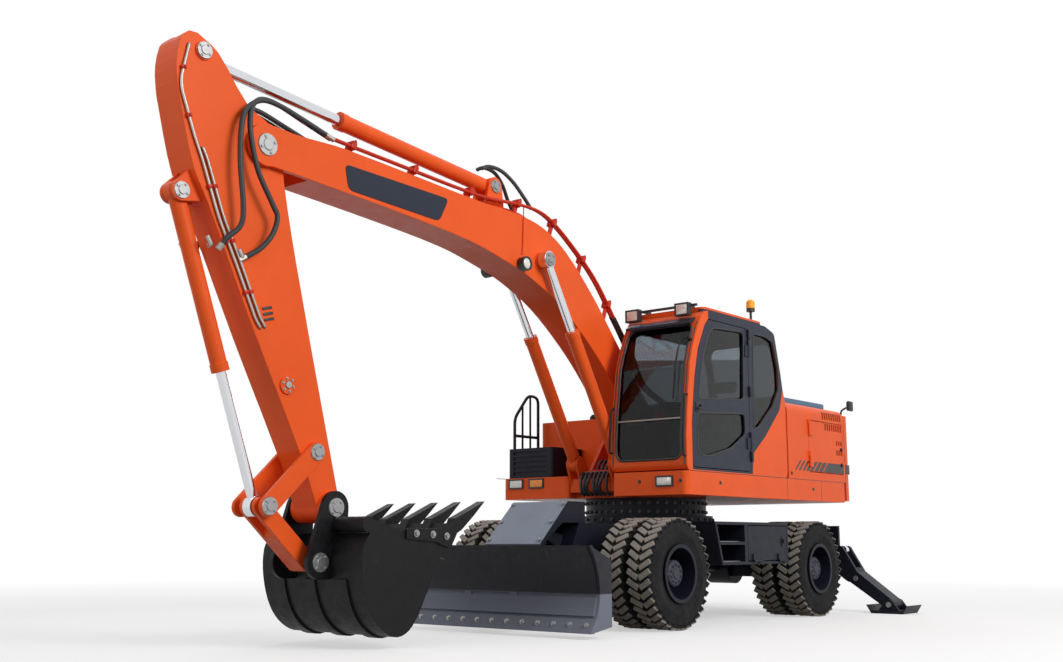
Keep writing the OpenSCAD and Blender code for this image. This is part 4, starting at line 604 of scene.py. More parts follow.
def tube(bm, path, r, sides=10):
    """A round tube swept along a path, closed at both ends."""
    heading = (path[1] - path[0]).normalized()
    turn = heading.to_track_quat("Z", "Y")
    at = Matrix.Translation(path[0]) @ turn.to_matrix().to_4x4()
    loop = bmesh.ops.create_circle(bm, cap_ends=False, segments=sides, radius=r / 1000, matrix=at)["verts"]
    edges = list({e for v in loop for e in v.link_edges})
    first = edges
    for i in range(1, len(path)):
        ahead = path[min(i + 1, len(path) - 1)] - path[i - 1]
        turn = heading.rotation_difference(ahead.normalized()) @ turn
        heading = ahead.normalized()
        new_at = Matrix.Translation(path[i]) @ turn.to_matrix().to_4x4()
        out = bmesh.ops.extrude_edge_only(bm, edges=edges)["geom"]
        loop = [g for g in out if isinstance(g, bmesh.types.BMVert)]
        edges = [g for g in out if isinstance(g, bmesh.types.BMEdge)]
        bmesh.ops.transform(bm, matrix=new_at @ at.inverted(), verts=loop)
        at = new_at
    bmesh.ops.holes_fill(bm, edges=first + edges, sides=sides)


def ring(bm, at, out, r, r_in, deep, sides=32):
    """A flat ring of square section, standing out of a face."""
    m = facing(at, at + Vector(out))
    outline = [(r_in, 0), (r, 0), (r, deep), (r_in, deep)]
    verts = [bm.verts.new(m @ Vector((a / 1000, 0, h / 1000))) for a, h in outline]
    edges = [bm.edges.new((verts[i], verts[(i + 1) % 4])) for i in range(4)]
    bmesh.ops.spin(bm, geom=verts + edges, cent=at, axis=Vector(out).normalized(), angle=2 * math.pi,
                   steps=sides, use_merge=True)


def dome(bm, at, out, r, high, sides=28):
    """A low round dome on a flat back."""
    m = facing(at, at + Vector(out)) @ Matrix.Diagonal((r / 1000, r / 1000, high / 1000, 1))
    made = bmesh.ops.create_uvsphere(bm, u_segments=sides, v_segments=12, radius=1, matrix=m)["verts"]
    edges = {e for v in made for e in v.link_edges}
    faces = {f for v in made for f in v.link_faces}
    cut = bmesh.ops.bisect_plane(bm, geom=[*made, *edges, *faces], plane_co=at, plane_no=Vector(out),
                                 clear_inner=True, dist=1e-5)["geom_cut"]
    bmesh.ops.holes_fill(bm, edges=[g for g in cut if isinstance(g, bmesh.types.BMEdge)], sides=0)


def rounded(points, radius, steps=4):
    """A closed outline with its corners turned into arcs."""
    p = [Vector(q) for q in points]
    made = []
    for a, b, c in zip(p[-1:] + p[:-1], p, p[1:] + p[:1]):
        made += arc(a, b, c, radius, steps)
    return made


def plate(bm, outline, thick, out):
    """A flat plate: an outline of points, thickened along out."""
    verts = [bm.verts.new(p) for p in outline]
    face = bm.faces.new(verts)
    made = bmesh.ops.extrude_face_region(bm, geom=[face])["geom"]
    moved = [g for g in made if isinstance(g, bmesh.types.BMVert)]
    bmesh.ops.translate(bm, vec=Vector(out).normalized() * thick / 1000, verts=moved)
    return verts + moved


def soften(bm, verts, width, segments=2):
    edges = list({e for v in verts for e in v.link_edges if e.is_valid and all(w in verts for w in e.verts)})
    bmesh.ops.bevel(bm, geom=edges, offset=width / 1000, offset_type="OFFSET", affect="EDGES",
                    segments=segments, profile=0.5, material=-1, clamp_overlap=True)


def piece(name, bm, finish, body, angle=40):
    bmesh.ops.remove_doubles(bm, verts=bm.verts, dist=1e-6)
    bmesh.ops.recalc_face_normals(bm, faces=bm.faces)
    mesh = bpy.data.meshes.new(name)
    bm.to_mesh(mesh)
    bm.free()
    mesh.polygons.foreach_set("use_smooth", [True] * len(mesh.polygons))
    mesh.set_sharp_from_angle(angle=math.radians(angle))
    mesh.materials.append(finish.material)
    obj = bpy.data.objects.new(name, mesh)
    bpy.context.scene.collection.objects.link(obj)
    if body:
        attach(obj, body)
    return obj


# Boom dressing

def level(points, along):
    """The second value of a run of points where the first is along."""
    for (a, low), (b, high) in zip(points, points[1:]):
        if along <= b:
            return low + (high - low) * (along - a) / (b - a)


def boom_top(along):
    """Height of the boom's top edge at a place along it."""
    return BOOM_LEN * level(BOOM_TOP_SHARES, along / BOOM_LEN)


# Height of the outer pipes above the line between the boom's pins, at places along it
PIPE_LINE = [(1000, 913), (1380, 1116), (1740, 1240), (2190, 1337), (2480, 1336), (2800, 1225), (3200, 1040),
             (3600, 901), (4200, 713), (4900, 494), (5100, 440)]
PIPE_OUTER_Y = 165
PIPE_INNER_Y = 115
PIPE_STEP = 22


def boom_pipes():
    bm = bmesh.new()
    for side in (-1, 1):
        for y, rise in ((PIPE_OUTER_Y, 0), (PIPE_INNER_Y, PIPE_STEP)):
            tube(bm, curve_through(spots([(a, side * y, h + rise) for a, h in PIPE_LINE], BOOM), 4), 16, 12)
        branch = [(2720, side * 165, level(PIPE_LINE, 2720)), (2710, side * 197, 1110),
                  (2640, side * 197, 900), (2600, side * 197, 760)]
        tube(bm, bent(spots(branch, BOOM), 30), 5, 8)
    piece("boom_pipes", bm, pipe_paint, "boom")


def boom_pipe_clamps():
    """Posts on the boom's top edge, each with a clamp for two pipes."""
    bm = bmesh.new()
    up = BOOM.to_3x3() @ Vector((0, 0, 1))
    for side in (-1, 1):
        for along in (1150, 1700, 2250, 2800, 3430, 4130, 4830):
            top, line = boom_top(along), level(PIPE_LINE, along)
            y0, y1 = sorted((side * 132, side * 148))
            box(bm, (along - 24, y0, top - 20), (along + 24, y1, line), BOOM)
            y0, y1 = sorted((side * 92, side * 188))
            soften(bm, box(bm, (along - 26, y0, line - 26), (along + 26, y1, line + 48), BOOM), 8)
            for y in (100, 140, 180):
                bolt(bm, spot((along, side * y, line + 48), BOOM), up, 9, 8)
    piece("boom_pipe_clamps", bm, pipe_paint, "boom")


def boom_plates():
    """The long plates on the boom's sides, left bare."""
    bm = bmesh.new()
    outline = rounded([(4865, 310), (3685, 715), (3714, 457), (4746, 127)], 55)
    for side in (-1, 1):
        plate(bm, spots([(a, side * BOOM_HALF_W, h) for a, h in outline], BOOM), 5, (0, side, 0))
    piece("boom_plates", bm, slate_paint, "boom")


def boom_lamps():
    """Round work lamps over the bosses at the boom's sides."""
    shell, glass = bmesh.new(), bmesh.new()
    for side in (-1, 1):
        out = Vector((0, side, 0))
        foot = spot((2576, side * 196, 666), BOOM)
        face = spot((2576, side * 260, 666), BOOM)
        bar(shell, foot, face, 67, 70, 32)
        ring(shell, face, out, 70, 55, 14, 32)
        dome(glass, face, out, 56, 16)
    piece("boom_lamp_shells", shell, trim_plastic, "boom")
    piece("boom_lamp_lenses", glass, lamp_lens, "boom")


# Hoses that loop across the arm's joint

HOSES = {
    "outer": [(4784, 165, 4125), (5050, 166, 4192), (5280, 168, 4240), (5460, 176, 4234), (5612, 200, 4130),
              (5684, 230, 3980), (5700, 250, 3674), (5655, 250, 3330), (5656, 230, 3177), (5740, 190, 3074),
              (5770, 165, 3020)],
    "inner": [(4777, 115, 4145), (5040, 116, 4212), (5270, 122, 4266), (5440, 140, 4258), (5560, 190, 4160),
              (5606, 225, 4010), (5592, 240, 3845), (5526, 250, 3620), (5380, 250, 3394), (5330, 250, 3300),
              (5363, 240, 3164), (5445, 210, 3042), (5559, 165, 2955)],
}


def arm_hoses():
    for name, route in HOSES.items():
        for side, word in SIDES:
            path = curve_through(spots([(x, side * y, z) for x, y, z in route]), 6)
            bm = bmesh.new()
            tube(bm, path, 21, 12)
            hose = piece(f"arm_hose_{name}_{word}", bm, hose_black, None)
            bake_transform(hose)
            first, last = path[1] - path[0], path[-1] - path[-2]
            ends = bmesh.new()
            bar(ends, path[0] - first.normalized() * 0.07, path[0] + first * 0.6, 25, sides=6)
            piece(f"hose_fitting_{name}_{word}", ends, zinc_steel, "boom")
            ends = bmesh.new()
            bar(ends, path[-1] - last * 0.6, path[-1] + last.normalized() * 0.05, 25, sides=6)
            piece(f"hose_end_{name}_{word}", ends, zinc_steel, "arm")


def arm_cylinder_hoses():
    """Loops from the boom's pipes to the arm cylinder's base."""
    for side, word in SIDES:
        route = [(2560, side * 115, 1330), (2690, side * 104, 1390), (2850, side * 72, 1470),
                 (3020, side * 46, 1500), (3180, side * 34, 1450), (3260, side * 30, 1375)]
        bm = bmesh.new()
        tube(bm, curve_through(spots(route, BOOM), 6), 19, 12)
        hose = piece(f"arm_cylinder_hose_{word}", bm, hose_black, None)
        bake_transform(hose)


# Arm dressing

# How far ahead of the arm's pins its outer pipe lies, at places along the arm
ARM_PIPE_LINE = [(-780, 540), (-489, 685), (-90, 645), (90, 612), (527, 562), (915, 474), (1330, 392),
                 (1400, 360)]
ARM_PIPE_STEP = 46
ARM_BOSS = (1876, 191)


def arm_pipes():
    """One pipe from the arm's top end, and a second beside it from below the boom's pin."""
    bm = bmesh.new()
    for side in (-1, 1):
        y, sunk = side * (ARM_HALF_W + 16), side * (ARM_HALF_W - 12)
        route = [(-784, sunk, 536)] + [(a, y, h) for a, h in ARM_PIPE_LINE] + [(1410, sunk, 345)]
        tube(bm, bent(spots(route, ARM), 90, 5), 11, 12)
        second = [(a, y, h - ARM_PIPE_STEP) for a, h in ARM_PIPE_LINE if a > 0]
        route = [(0, sunk, 590), (4, y, 588)] + second + [(1410, sunk, 345 - ARM_PIPE_STEP)]
        tube(bm, bent(spots(route, ARM), 90, 5), 11, 12)
    piece("arm_pipes", bm, zinc_steel, "arm")


def arm_pipe_clamps():
    bm = bmesh.new()
    for side in (-1, 1):
        for along, low in ((-600, 20), (-240, 20), (300, 64), (720, 64), (1120, 64)):
            ahead = level(ARM_PIPE_LINE, along)
            out = side * (ARM_HALF_W + 31)
            y0, y1 = sorted((side * (ARM_HALF_W - 4), out))
            soften(bm, box(bm, (along - 16, y0, ahead - low), (along + 16, y1, ahead + 20), ARM), 5)
            bolt(bm, spot((along, out, ahead - (low - 20) / 2), ARM), (0, side, 0), 8, 7)
    piece("arm_pipe_clamps", bm, pipe_paint, "arm")


def arm_bosses():
    """Bolts round the bosses on the arm's sides."""
    bm = bmesh.new()
    for side in (-1, 1):
        centre = (ARM_BOSS[0], side * (ARM_HALF_W + 14), ARM_BOSS[1])
        bolt_circle(bm, centre, side, 52, 6, 8, 7, ARM)
        at = spot(centre, ARM)
        bar(bm, at, at + Vector((0, side * 0.012, 0)), 30, 26, 28)
    piece("arm_bosses", bm, pin_steel, "arm")


def pin_head(bm, at, centre, side, r):
    """The end of a pin: a collar, a plug and its ring of bolts."""
    x, y, z = centre
    n = Vector((0, side, 0))
    face = spot((x, side * y, z), at)
    bar(bm, face, face + n * 0.012, 1.5 * r, 1.42 * r, 36)
    bar(bm, face + n * 0.012, face + n * 0.02, 0.8 * r, 0.74 * r, 28)
    bolt_circle(bm, (x, side * (y + 12), z), side, 1.1 * r, 4, 0.16 * r, 7, at, 0.5)


PIN_HEADS = {
    "boom": ((BOOM, (0, 274, 0), 45), (BOOM, (BOOM_LEN, 190, 0), 62), (BOOM, (3086, 96, 1266), 45)),
    "house": ((MACHINE, (890, 341, 1620), 45),),
    "boom_rods": ((MACHINE, (2043.4, 316, 3550.6), 48),),
    "arm": ((ARM, (-734, 154, 412), 46), (ARM, (302, 82, 789), 45), (ARM, (2442, 182, 46), 46)),
    "guide_links": ((MACHINE, (5251.7, 182, 1086.5), 48),),
    "bucket": ((MACHINE, (4635.4, 230, 1087.8), 52), (MACHINE, (4780.2, 230, 663.0), 52)),
    "chassis": ((MACHINE, (1900, 320, 560), 42),),
}


def pin_heads():
    for body, rows in PIN_HEADS.items():
        bm = bmesh.new()
        for at, centre, r in rows:
            for side in (-1, 1):
                pin_head(bm, at, centre, side, r)
        piece(f"pin_heads_{body}", bm, pin_steel, body)


boom_pipes()
boom_pipe_clamps()
boom_plates()
boom_lamps()
arm_hoses()
arm_cylinder_hoses()
arm_pipes()
arm_pipe_clamps()
arm_bosses()
pin_heads()


def blocks(name, rows, finish, body, width=4, at=MACHINE):
    """One piece of blocks with softened edges, from their low and high corners."""
    bm = bmesh.new()
    for low, high in rows:
        soften(bm, box(bm, low, high, at), width)
    return piece(name, bm, finish, body)


def pipework(name, routes, r, finish, body, at=MACHINE, bend=40):
    bm = bmesh.new()
    for route in routes:
        tube(bm, bent(spots(route, at), bend), r, 12)
    return piece(name, bm, finish, body)


def both(rows):
    """Blocks on the left side, and their mirror images on the right."""
    made = list(rows)
    for (x0, y0, z0), (x1, y1, z1) in rows:
        made.append(((x0, -y1, z0), (x1, -y0, z1)))
    return made


def spaced(points, step=120):
    """A closed run of points at most a step apart, back to its start."""
    made = []
    for a, b in zip(points, points[1:] + points[:1]):
        n = max(1, math.ceil((b - a).length / step))
        made += [a.lerp(b, k / n) for k in range(n)]
    return made + made[:1]


# Cab

CAB_REAR_X = -910
CAB_LEN = 2020
CAB_LOW_Z = 1500
CAB_H = 1625
CAB_INNER_Y = 350
ROOF_TOP_Z = 3171
DOOR_WINDOW_SHARES = [(0.875, 0.44), (0.881, 0.47), (0.835, 0.70), (0.785, 0.84), (0.74, 0.90),
                      (0.445, 0.92), (0.43, 0.90), (0.445, 0.49), (0.47, 0.475)]
LOW_WINDOW_SHARES = [(0.893, 0.10), (0.90, 0.35), (0.44, 0.39), (0.435, 0.26), (0.58, 0.16), (0.80, 0.095)]
QUARTER_SHARES = [(0.35, 0.30), (0.33, 0.93), (0.20, 0.93), (0.12, 0.905), (0.07, 0.73), (0.068, 0.59),
                  (0.14, 0.466), (0.297, 0.315)]


def cab_front(z):
    """How far ahead the cab's front reaches at a height."""
    return level([(height, x) for x, height in CAB_FRONT], z)


def on_cab_front(points, ahead):
    return spots([(cab_front(z) + ahead, y, z) for y, z in points])


def windscreen_trim():
    """Rubber round the windscreen, the bar across it and the dark joints beside the posts."""
    bm = bmesh.new()
    screen = rounded([(412, 1614), (1185, 1614), (1185, 2979), (412, 2979)], 90, 6)
    tube(bm, on_cab_front(spaced(screen), 1), 12, 8)
    for y in (372, 1221):
        tube(bm, on_cab_front([(y, z) for z in range(1560, 3060, 90)], 2), 6, 8)
    piece("windscreen_seal", bm, hose_black, "house")
    bm = bmesh.new()
    tube(bm, on_cab_front([(y, 2012) for y in (408, 800, 1189)], -6), 9, 8)
    piece("windscreen_bar", bm, zinc_steel, "house")


def window_seal(shares):
    bm = bmesh.new()
    outline = rounded([(CAB_REAR_X + s * CAB_LEN, CAB_LOW_Z + t * CAB_H) for s, t in shares], 55, 4)
    tube(bm, spots([(x, HOUSE_HALF_W - 4, z) for x, z in spaced(outline)]), 10, 8)
    return bm


def window_seals():
    for name, shares, body in (("door_window_seal", DOOR_WINDOW_SHARES, "cab_door"),
                               ("door_low_window_seal", LOW_WINDOW_SHARES, "cab_door"),
                               ("quarter_window_seal", QUARTER_SHARES, "house")):
        piece(name, window_seal(shares), hose_black, body)


def wiper():
    """The arm and the blade, parked at the windscreen's left edge."""
    bm = bmesh.new()
    arm = [(1196, 2800), (1150, 2822), (1112, 2800), (1096, 2740), (1092, 2640), (1090, 2500)]
    tube(bm, curve_through(on_cab_front(arm, 26), 4), 8, 8)
    tube(bm, on_cab_front([(1088, z) for z in range(2200, 2740, 60)], 14), 9, 8)
    pivot = on_cab_front([(1196, 2800)], -6)[0]
    bar(bm, pivot, pivot + Vector((0.05, 0, 0.015)), 22, 16)
    piece("wiper", bm, black_paint, "house")


def cab_rails():
    """Grab rails on the front posts."""
    bm = bmesh.new()
    for y, low, high in ((1236, 1640, 2240), (362, 1700, 2160)):
        path = on_cab_front([(y, z) for z in range(low, high + 1, 60)], 46)
        ends = on_cab_front([(y, low), (y, high)], -4)
        tube(bm, [ends[0]] + path + [ends[1]], 11, 10)
    piece("cab_rails", bm, black_paint, "house")


def cab_visor():
    """A dark brow above the windscreen."""
    bm = bmesh.new()
    brow = [(774, 3058), (884, 3004), (892, 2976), (872, 2980), (806, 3012)]
    plate(bm, spots([(x, 392, z) for x, z in brow]), 790, (0, 1, 0))
    piece("cab_visor", bm, slate_paint, "house")


def roof_hatch():
    rows = [((-330, 520, ROOF_TOP_Z - 4), (330, 1080, ROOF_TOP_Z + 14)),
            ((-290, 560, ROOF_TOP_Z), (290, 1040, ROOF_TOP_Z + 24))]
    blocks("roof_hatch", rows, orange_paint, "house", 10)
    rows = [((250, 760, ROOF_TOP_Z + 20), (272, 840, ROOF_TOP_Z + 40))]
    blocks("roof_hatch_handle", rows, black_paint, "house", 6)


def door_fittings():
    """The latch with its pull, and the hinges."""
    y = HOUSE_HALF_W
    rows = [((838, y - 2, 2075), (930, y + 8, 2175)), ((850, y + 4, 2100), (918, y + 30, 2126)),
            ((850, y + 4, 2100), (868, y + 30, 2160))]
    blocks("door_latch", rows, trim_plastic, "cab_door", 5)
    rows = [((-160, y - 3, z), (-112, y + 20, z + 110)) for z in (1640, 2320, 2930)]
    blocks("door_hinges", rows, black_paint, "house", 8)


# Lamps

LAMP_FACES = {
    "roof_lamp_lenses": (lamp_lens, 836, ((440, 3140, 66, 50), (1050, 3140, 66, 50))),
    "cab_lamp_lens": (lamp_lens, 1116, ((987, 1402, 85, 38),)),
    "headlamp_lens": (lamp_lens, 946, ((-1056, 1437, 85, 38),)),
    "marker_lens": (amber_lens, 946, ((-772, 1437, 85, 38),)),
}


def lamp_lenses():
    for name, (finish, x, faces) in LAMP_FACES.items():
        rows = [((x, y - w, z - h), (x + 8, y + w, z + h)) for y, z, w, h in faces]
        blocks(name, rows, finish, "house", 5)


# House

SIDE_DOOR_X = (-2290, -1430)
SIDE_DOOR_Z = (1590, 2180)
LOUVRE_SHARES = [(0.03, 0.60, 0.84, 0.97), (0.03, 0.28, 0.57, 0.655), (0.03, 0.28, 0.375, 0.475)]
TOP_LOUVRE_SHARES = (0.03, 0.62, 1.05, 1.19)
TAIL_R = 2750
TAIL_LAMP_Y = 820
HANDRAIL_Y = -1202
STRIPE_Z = (1601, 1712)
STRIPE_LEAN = 129
STRIPE_STEPS = [(-1082, 34), (-1168, 42), (-1256, 50), (-1346, 58), (-1440, 68), (-1540, 80), (-1646, 92),
                (-1762, 700)]


def louvre_shade_plates():
    """Dark plates at the bottom of the louvre slots: painted shade for the slots' recesses."""
    def row_box(row):
        x0, z0 = SIDE_DOOR_X[0], SIDE_DOOR_Z[0]
        long, high = SIDE_DOOR_X[1] - x0, SIDE_DOOR_Z[1] - z0
        return ((x0 + row[0] * long, HOUSE_HALF_W - 20, z0 + row[2] * high + 1),
                (x0 + row[1] * long, HOUSE_HALF_W - 12, z0 + row[3] * high - 1))
    blocks("louvre_shade_plates_house", both([row_box(TOP_LOUVRE_SHARES)]), louvre_shade_paint, "house", 1)
    for side, word in ((0, "left"), (1, "right")):
        rows = [both([row_box(row)])[side] for row in LOUVRE_SHARES]
        blocks(f"louvre_shade_plates_{word}", rows, louvre_shade_paint, f"side_door_{word}", 1)


def clipped(outline, low, high):
    """The part of a convex outline of x and z that lies between two values of x."""
    for limit, sign in ((low, 1), (high, -1)):
        kept = []
        for a, b in zip(outline, outline[1:] + outline[:1]):
            if sign * (a[0] - limit) >= 0:
                kept.append(a)
            if (sign * (a[0] - limit) >= 0) != (sign * (b[0] - limit) >= 0):
                kept.append((limit, a[1] + (b[1] - a[1]) * (limit - a[0]) / (b[0] - a[0])))
        outline = kept
    return outline


def side_stripes():
    """Leaning bars that close up to a dark band along the body's sides."""
    runs = {"house": ((-1428, -1000), (-2440, -2333))}
    for side, word in SIDES:
        for body, spans in {**runs, f"side_door_{word}": ((-2281, -1439),)}.items():
            bm = bmesh.new()
            for x, w in STRIPE_STEPS:
                (foot, top), lean = STRIPE_Z, x - STRIPE_LEAN
                for low, high in spans:
                    part = clipped([(x, foot), (lean, top), (lean - w, top), (x - w, foot)], low, high)
                    if len(part) > 2:
                        face = spots([(a, side * (HOUSE_HALF_W - 0.5), h) for a, h in part])
                        plate(bm, face, 2, (0, side, 0))
            piece(f"stripes_{word}_{'door' if 'door' in body else 'body'}", bm, stripe_paint, body)


def house_seams():
    """Dark joints along the deck, at the weight and between the panels."""
    y0, y1 = HOUSE_HALF_W - 3, HOUSE_HALF_W + 1
    rows = [((-2326, y0, 1497), (1050, y1, 1503)), ((-2334, y0, 1300), (-2328, y1, 2240)),
            ((-900, y0, 1270), (-895, y1, 1500)), ((-1700, y0, 1270), (-1695, y1, 1500))]
    blocks("house_seams", both(rows), trim_plastic, "house", 0.5)


def side_latches():
    for side, word in SIDES:
        bm = bmesh.new()
        for z in (1700, 1880):
            at = spot((-2240, side * HOUSE_HALF_W, z))
            bar(bm, at, at + Vector((0, side * 0.008, 0)), 26, 24, 24)
            bar(bm, at, at + Vector((0, side * 0.016, 0)), 9, sides=12)
        piece(f"side_latches_{word}", bm, black_paint, f"side_door_{word}")


def house_plugs():
    """Round black plugs over the tie points in the deck's edge."""
    bm = bmesh.new()
    spots_out = [((1110, 690, 1405), (1, 0, 0)), ((1110, 1170, 1405), (1, 0, 0)),
                 ((-1005, HOUSE_HALF_W, 1560), (0, 1, 0)), ((-1005, -HOUSE_HALF_W, 1560), (0, -1, 0)),
                 ((500, HOUSE_HALF_W, 1400), (0, 1, 0)), ((-1500, HOUSE_HALF_W, 1400), (0, 1, 0))]
    for at, out in spots_out:
        place_at = spot(at)
        bar(bm, place_at - Vector(out) * 0.002, place_at + Vector(out) * 0.007, 20, 16, 20)
    piece("house_plugs", bm, trim_plastic, "house")


def rear_mirror():
    """A mirror on a bent stalk at the tail's left corner."""
    stalk = [(-2386, 1190, 2286), (-2386, 1200, 2360), (-2420, 1260, 2400), (-2436, 1280, 2412)]
    pipework("mirror_stalk", [stalk], 11, black_paint, "house", bend=25)
    blocks("mirror_shell", [((-2496, 1270, 2352), (-2376, 1312, 2472))], trim_plastic, "house", 18)
    blocks("mirror_glass", [((-2484, 1266, 2364), (-2388, 1272, 2460))], rod_chrome, "house", 2)


def tail_lamps():
    """Red lamps in the tail, and rubber strips on the hood."""
    shells, glass = bmesh.new(), bmesh.new()
    for side in (-1, 1):
        turn = math.pi - side * math.asin(TAIL_LAMP_Y / TAIL_R)
        tail = MACHINE @ Matrix.Translation((-2625, side * TAIL_LAMP_Y, 0)) @ Matrix.Rotation(turn, 4, "Z")
        soften(shells, box(shells, (-20, -110, 1420), (14, 110, 1520), tail), 8)
        soften(glass, box(glass, (0, -92, 1436), (20, 92, 1504), tail), 4)
    piece("tail_lamp_shells", shells, trim_plastic, "house")
    piece("tail_lamp_lenses", glass, red_lens, "house")
    rows = [((-2150 + 90 * i, -520, 2452), (-2120 + 90 * i, 520, 2460)) for i in range(12)]
    blocks("hood_treads", rows, trim_plastic, "engine_hood", 2)


def boom_foot_hoses():
    """Hoses that loop from the deck behind the boom's foot up to its pipes."""
    for y, word in ((PIPE_OUTER_Y, "outer_left"), (PIPE_INNER_Y, "inner_left"),
                    (-PIPE_INNER_Y, "inner_right"), (-PIPE_OUTER_Y, "outer_right")):
        deck = [(-240, y, 1496), (-300, y, 1640), (-345, y, 1950), (-250, y, 2280)]
        rise = PIPE_STEP if abs(y) == PIPE_INNER_Y else 0
        boom = [(250, y, 480), (560, y, 680), (800, y, 806 + rise), (1010, y, 919 + rise)]
        bm = bmesh.new()
        tube(bm, curve_through(spots(deck) + spots(boom, BOOM), 6), 20, 12)
        hose = piece(f"boom_foot_hose_{word}", bm, hose_black, None)
        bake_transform(hose)


def fitted_hoses(name, routes, r, bend, heads, head_r):
    """A bank of hoses, each with a hexagon at its start, from a place and a length."""
    pipework(f"{name}_hoses", routes, r, hose_black, "house", bend=bend)
    bm = bmesh.new()
    for at, step in heads:
        bar(bm, spot(at), spot(at) + Vector(step), head_r, sides=6)
    return bm


def valve_gear():
    """The main valve's blocks and hoses between the boom's brackets."""
    rows = [((430, -150, 1498), (560, 150, 1640)), ((570, -120, 1498), (640, 120, 1600)),
            ((650, -170, 1498), (740, -60, 1570)), ((650, 40, 1498), (740, 170, 1580))]
    blocks("valve_blocks", rows, pipe_paint, "house", 8)
    across = [-150 + 60 * i for i in range(6)]
    routes = [[(520, y, 1630), (540, y, 1672), (640, y + 20, 1668), (730, y + 30, 1560), (772, y + 30, 1420),
               (740, y + 10, 1330)] for y in across]
    heads = [((520, y, 1636), (0.012, 0, 0.03)) for y in across]
    piece("valve_fittings", fitted_hoses("valve", routes, 15, 70, heads, 20), zinc_steel, "house")


def deck_hoses():
    """Hoses from a manifold over the deck's front edge, down to the swivel below."""
    blocks("deck_manifold", [((770, -190, 1496), (850, 190, 1556))], pipe_paint, "house", 8)
    across = [(-165 + 55 * i, 12 * (i % 3)) for i in range(7)]
    routes = [[(848, y, 1526), (900, y, 1530), (944 + lean, y + lean, 1480), (950 + lean, y - lean, 1390),
               (930, y - lean, 1316), (880, y, 1300)] for y, lean in across]
    heads = [((848, y, 1526), (0.036, 0, 0)) for y, _ in across]
    piece("deck_hose_fittings", fitted_hoses("deck", routes, 16, 60, heads, 21), zinc_steel, "house")


def hood_tray():
    """The wide panel round the hood, which lifts with it."""
    bm = bmesh.new()
    outline = rounded([(-2236, -1080), (-1050, -1080), (-1050, 1080), (-2236, 1080)], 90, 5)
    soften(bm, plate(bm, spots([(x, y, 2354) for x, y in outline]), 74, (0, 0, 1)), 22)
    piece("hood_tray", bm, hood_paint, "engine_hood")


def tank_caps():
    bm = bmesh.new()
    for x in (-420, -720):
        at = spot((x, -1000, 2230))
        bar(bm, at - Vector((0, 0, 0.004)), at + Vector((0, 0, 0.05)), 60, 56, 28)
        bar(bm, at + Vector((0, 0, 0.05)), at + Vector((0, 0, 0.07)), 44, 38, 28)
    piece("tank_caps", bm, black_paint, "house")


def front_box_tread():
    """Rubber treads on top of the step box."""
    rows = [((340 + 60 * i, -1180, 1826), (375 + 60 * i, -680, 1836)) for i in range(8)]
    blocks("front_box_treads", rows, trim_plastic, "house", 2)


def handrail():
    """A hoop with a slanted front corner, a rail across it and two bars."""
    hoop = [(800, 1824), (800, 2180), (560, 2460), (390, 2440), (390, 1824)]
    routes = [[(x, HANDRAIL_Y, z) for x, z in hoop], [(x, HANDRAIL_Y, 1985) for x in (390, 800)]]
    rail = pipework("handrail_hoop", routes, 17, black_paint, "house", bend=70)
    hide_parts("handrails")
    bars = [[(x, HANDRAIL_Y, 1824), (x, HANDRAIL_Y, z)] for x, z in ((665, 2336), (530, 2454))]
    pipework("handrail_bars", bars, 12, black_paint, "house")


windscreen_trim()
window_seals()
wiper()
cab_rails()
cab_visor()
roof_hatch()
door_fittings()
lamp_lenses()
louvre_shade_plates()
side_stripes()
house_seams()
side_latches()
house_plugs()
rear_mirror()
tail_lamps()
boom_foot_hoses()
valve_gear()
deck_hoses()
hood_tray()
tank_caps()
front_box_tread()
handrail()


# Inside the cab

SEAT_X = -350
SEAT_Y = 798
FLOOR_Z = 1550


def stuffed(name, size, at):
    """A padded block that swells under pressure, from its size and the place of its middle."""
    bm = bmesh.new()
    soften(bm, bmesh.ops.create_cube(bm, size=1, matrix=Matrix.Diagonal((*size, 1)))["verts"], 34, 3)
    bmesh.ops.transform(bm, matrix=at, verts=bm.verts)
    pad = piece(name, bm, seat_fabric, "house", 80)
    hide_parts("seat")
    remesh = pad.modifiers.new("remesh", "REMESH")
    remesh.mode = "VOXEL"
    remesh.voxel_size = 0.006
    bake(pad)
    rest = [v.co.copy() for v in pad.data.vertices]
    cloth = pad.modifiers.new("cloth", "CLOTH")
    cloth.settings.use_pressure = True
    cloth.settings.uniform_pressure_force = 4
    cloth.settings.effector_weights.gravity = 0
    for frame_number in range(1, 21):
        bpy.context.scene.frame_set(frame_number)
    bake(pad)
    for v, start in zip(pad.data.vertices, rest):
        step = v.co - start
        v.co = start + step * min(1, 0.016 / max(step.length, 1e-6))
    bpy.context.scene.frame_set(1)
    pad.data.polygons.foreach_set("use_smooth", [True] * len(pad.data.polygons))
    return pad


def bake(obj):
    """Puts an object's modifiers into its mesh and removes them."""
    shown = obj.evaluated_get(bpy.context.evaluated_depsgraph_get())
    mesh = bpy.data.meshes.new_from_object(shown)
    obj.modifiers.clear()
    obj.data = mesh


SEAT = MACHINE @ Matrix.Translation((SEAT_X, SEAT_Y, FLOOR_Z))


def seat_pads():
    lean = Matrix.Rotation(math.radians(-11.5), 4, "Y")
    for name, size, ahead, up, turn, fill in (
            ("seat_cushion", (0.36, 0.44, 0.10), 318, 370, Matrix(), 0.7),
            ("seat_back", (0.085, 0.43, 0.40), 18, 620, lean, 0.7),
            ("seat_headrest", (0.075, 0.28, 0.13), -42, 928, lean, 0.6)):
        stuffed(name, size, Matrix.Translation(spot((ahead, 0, up), SEAT)) @ turn)


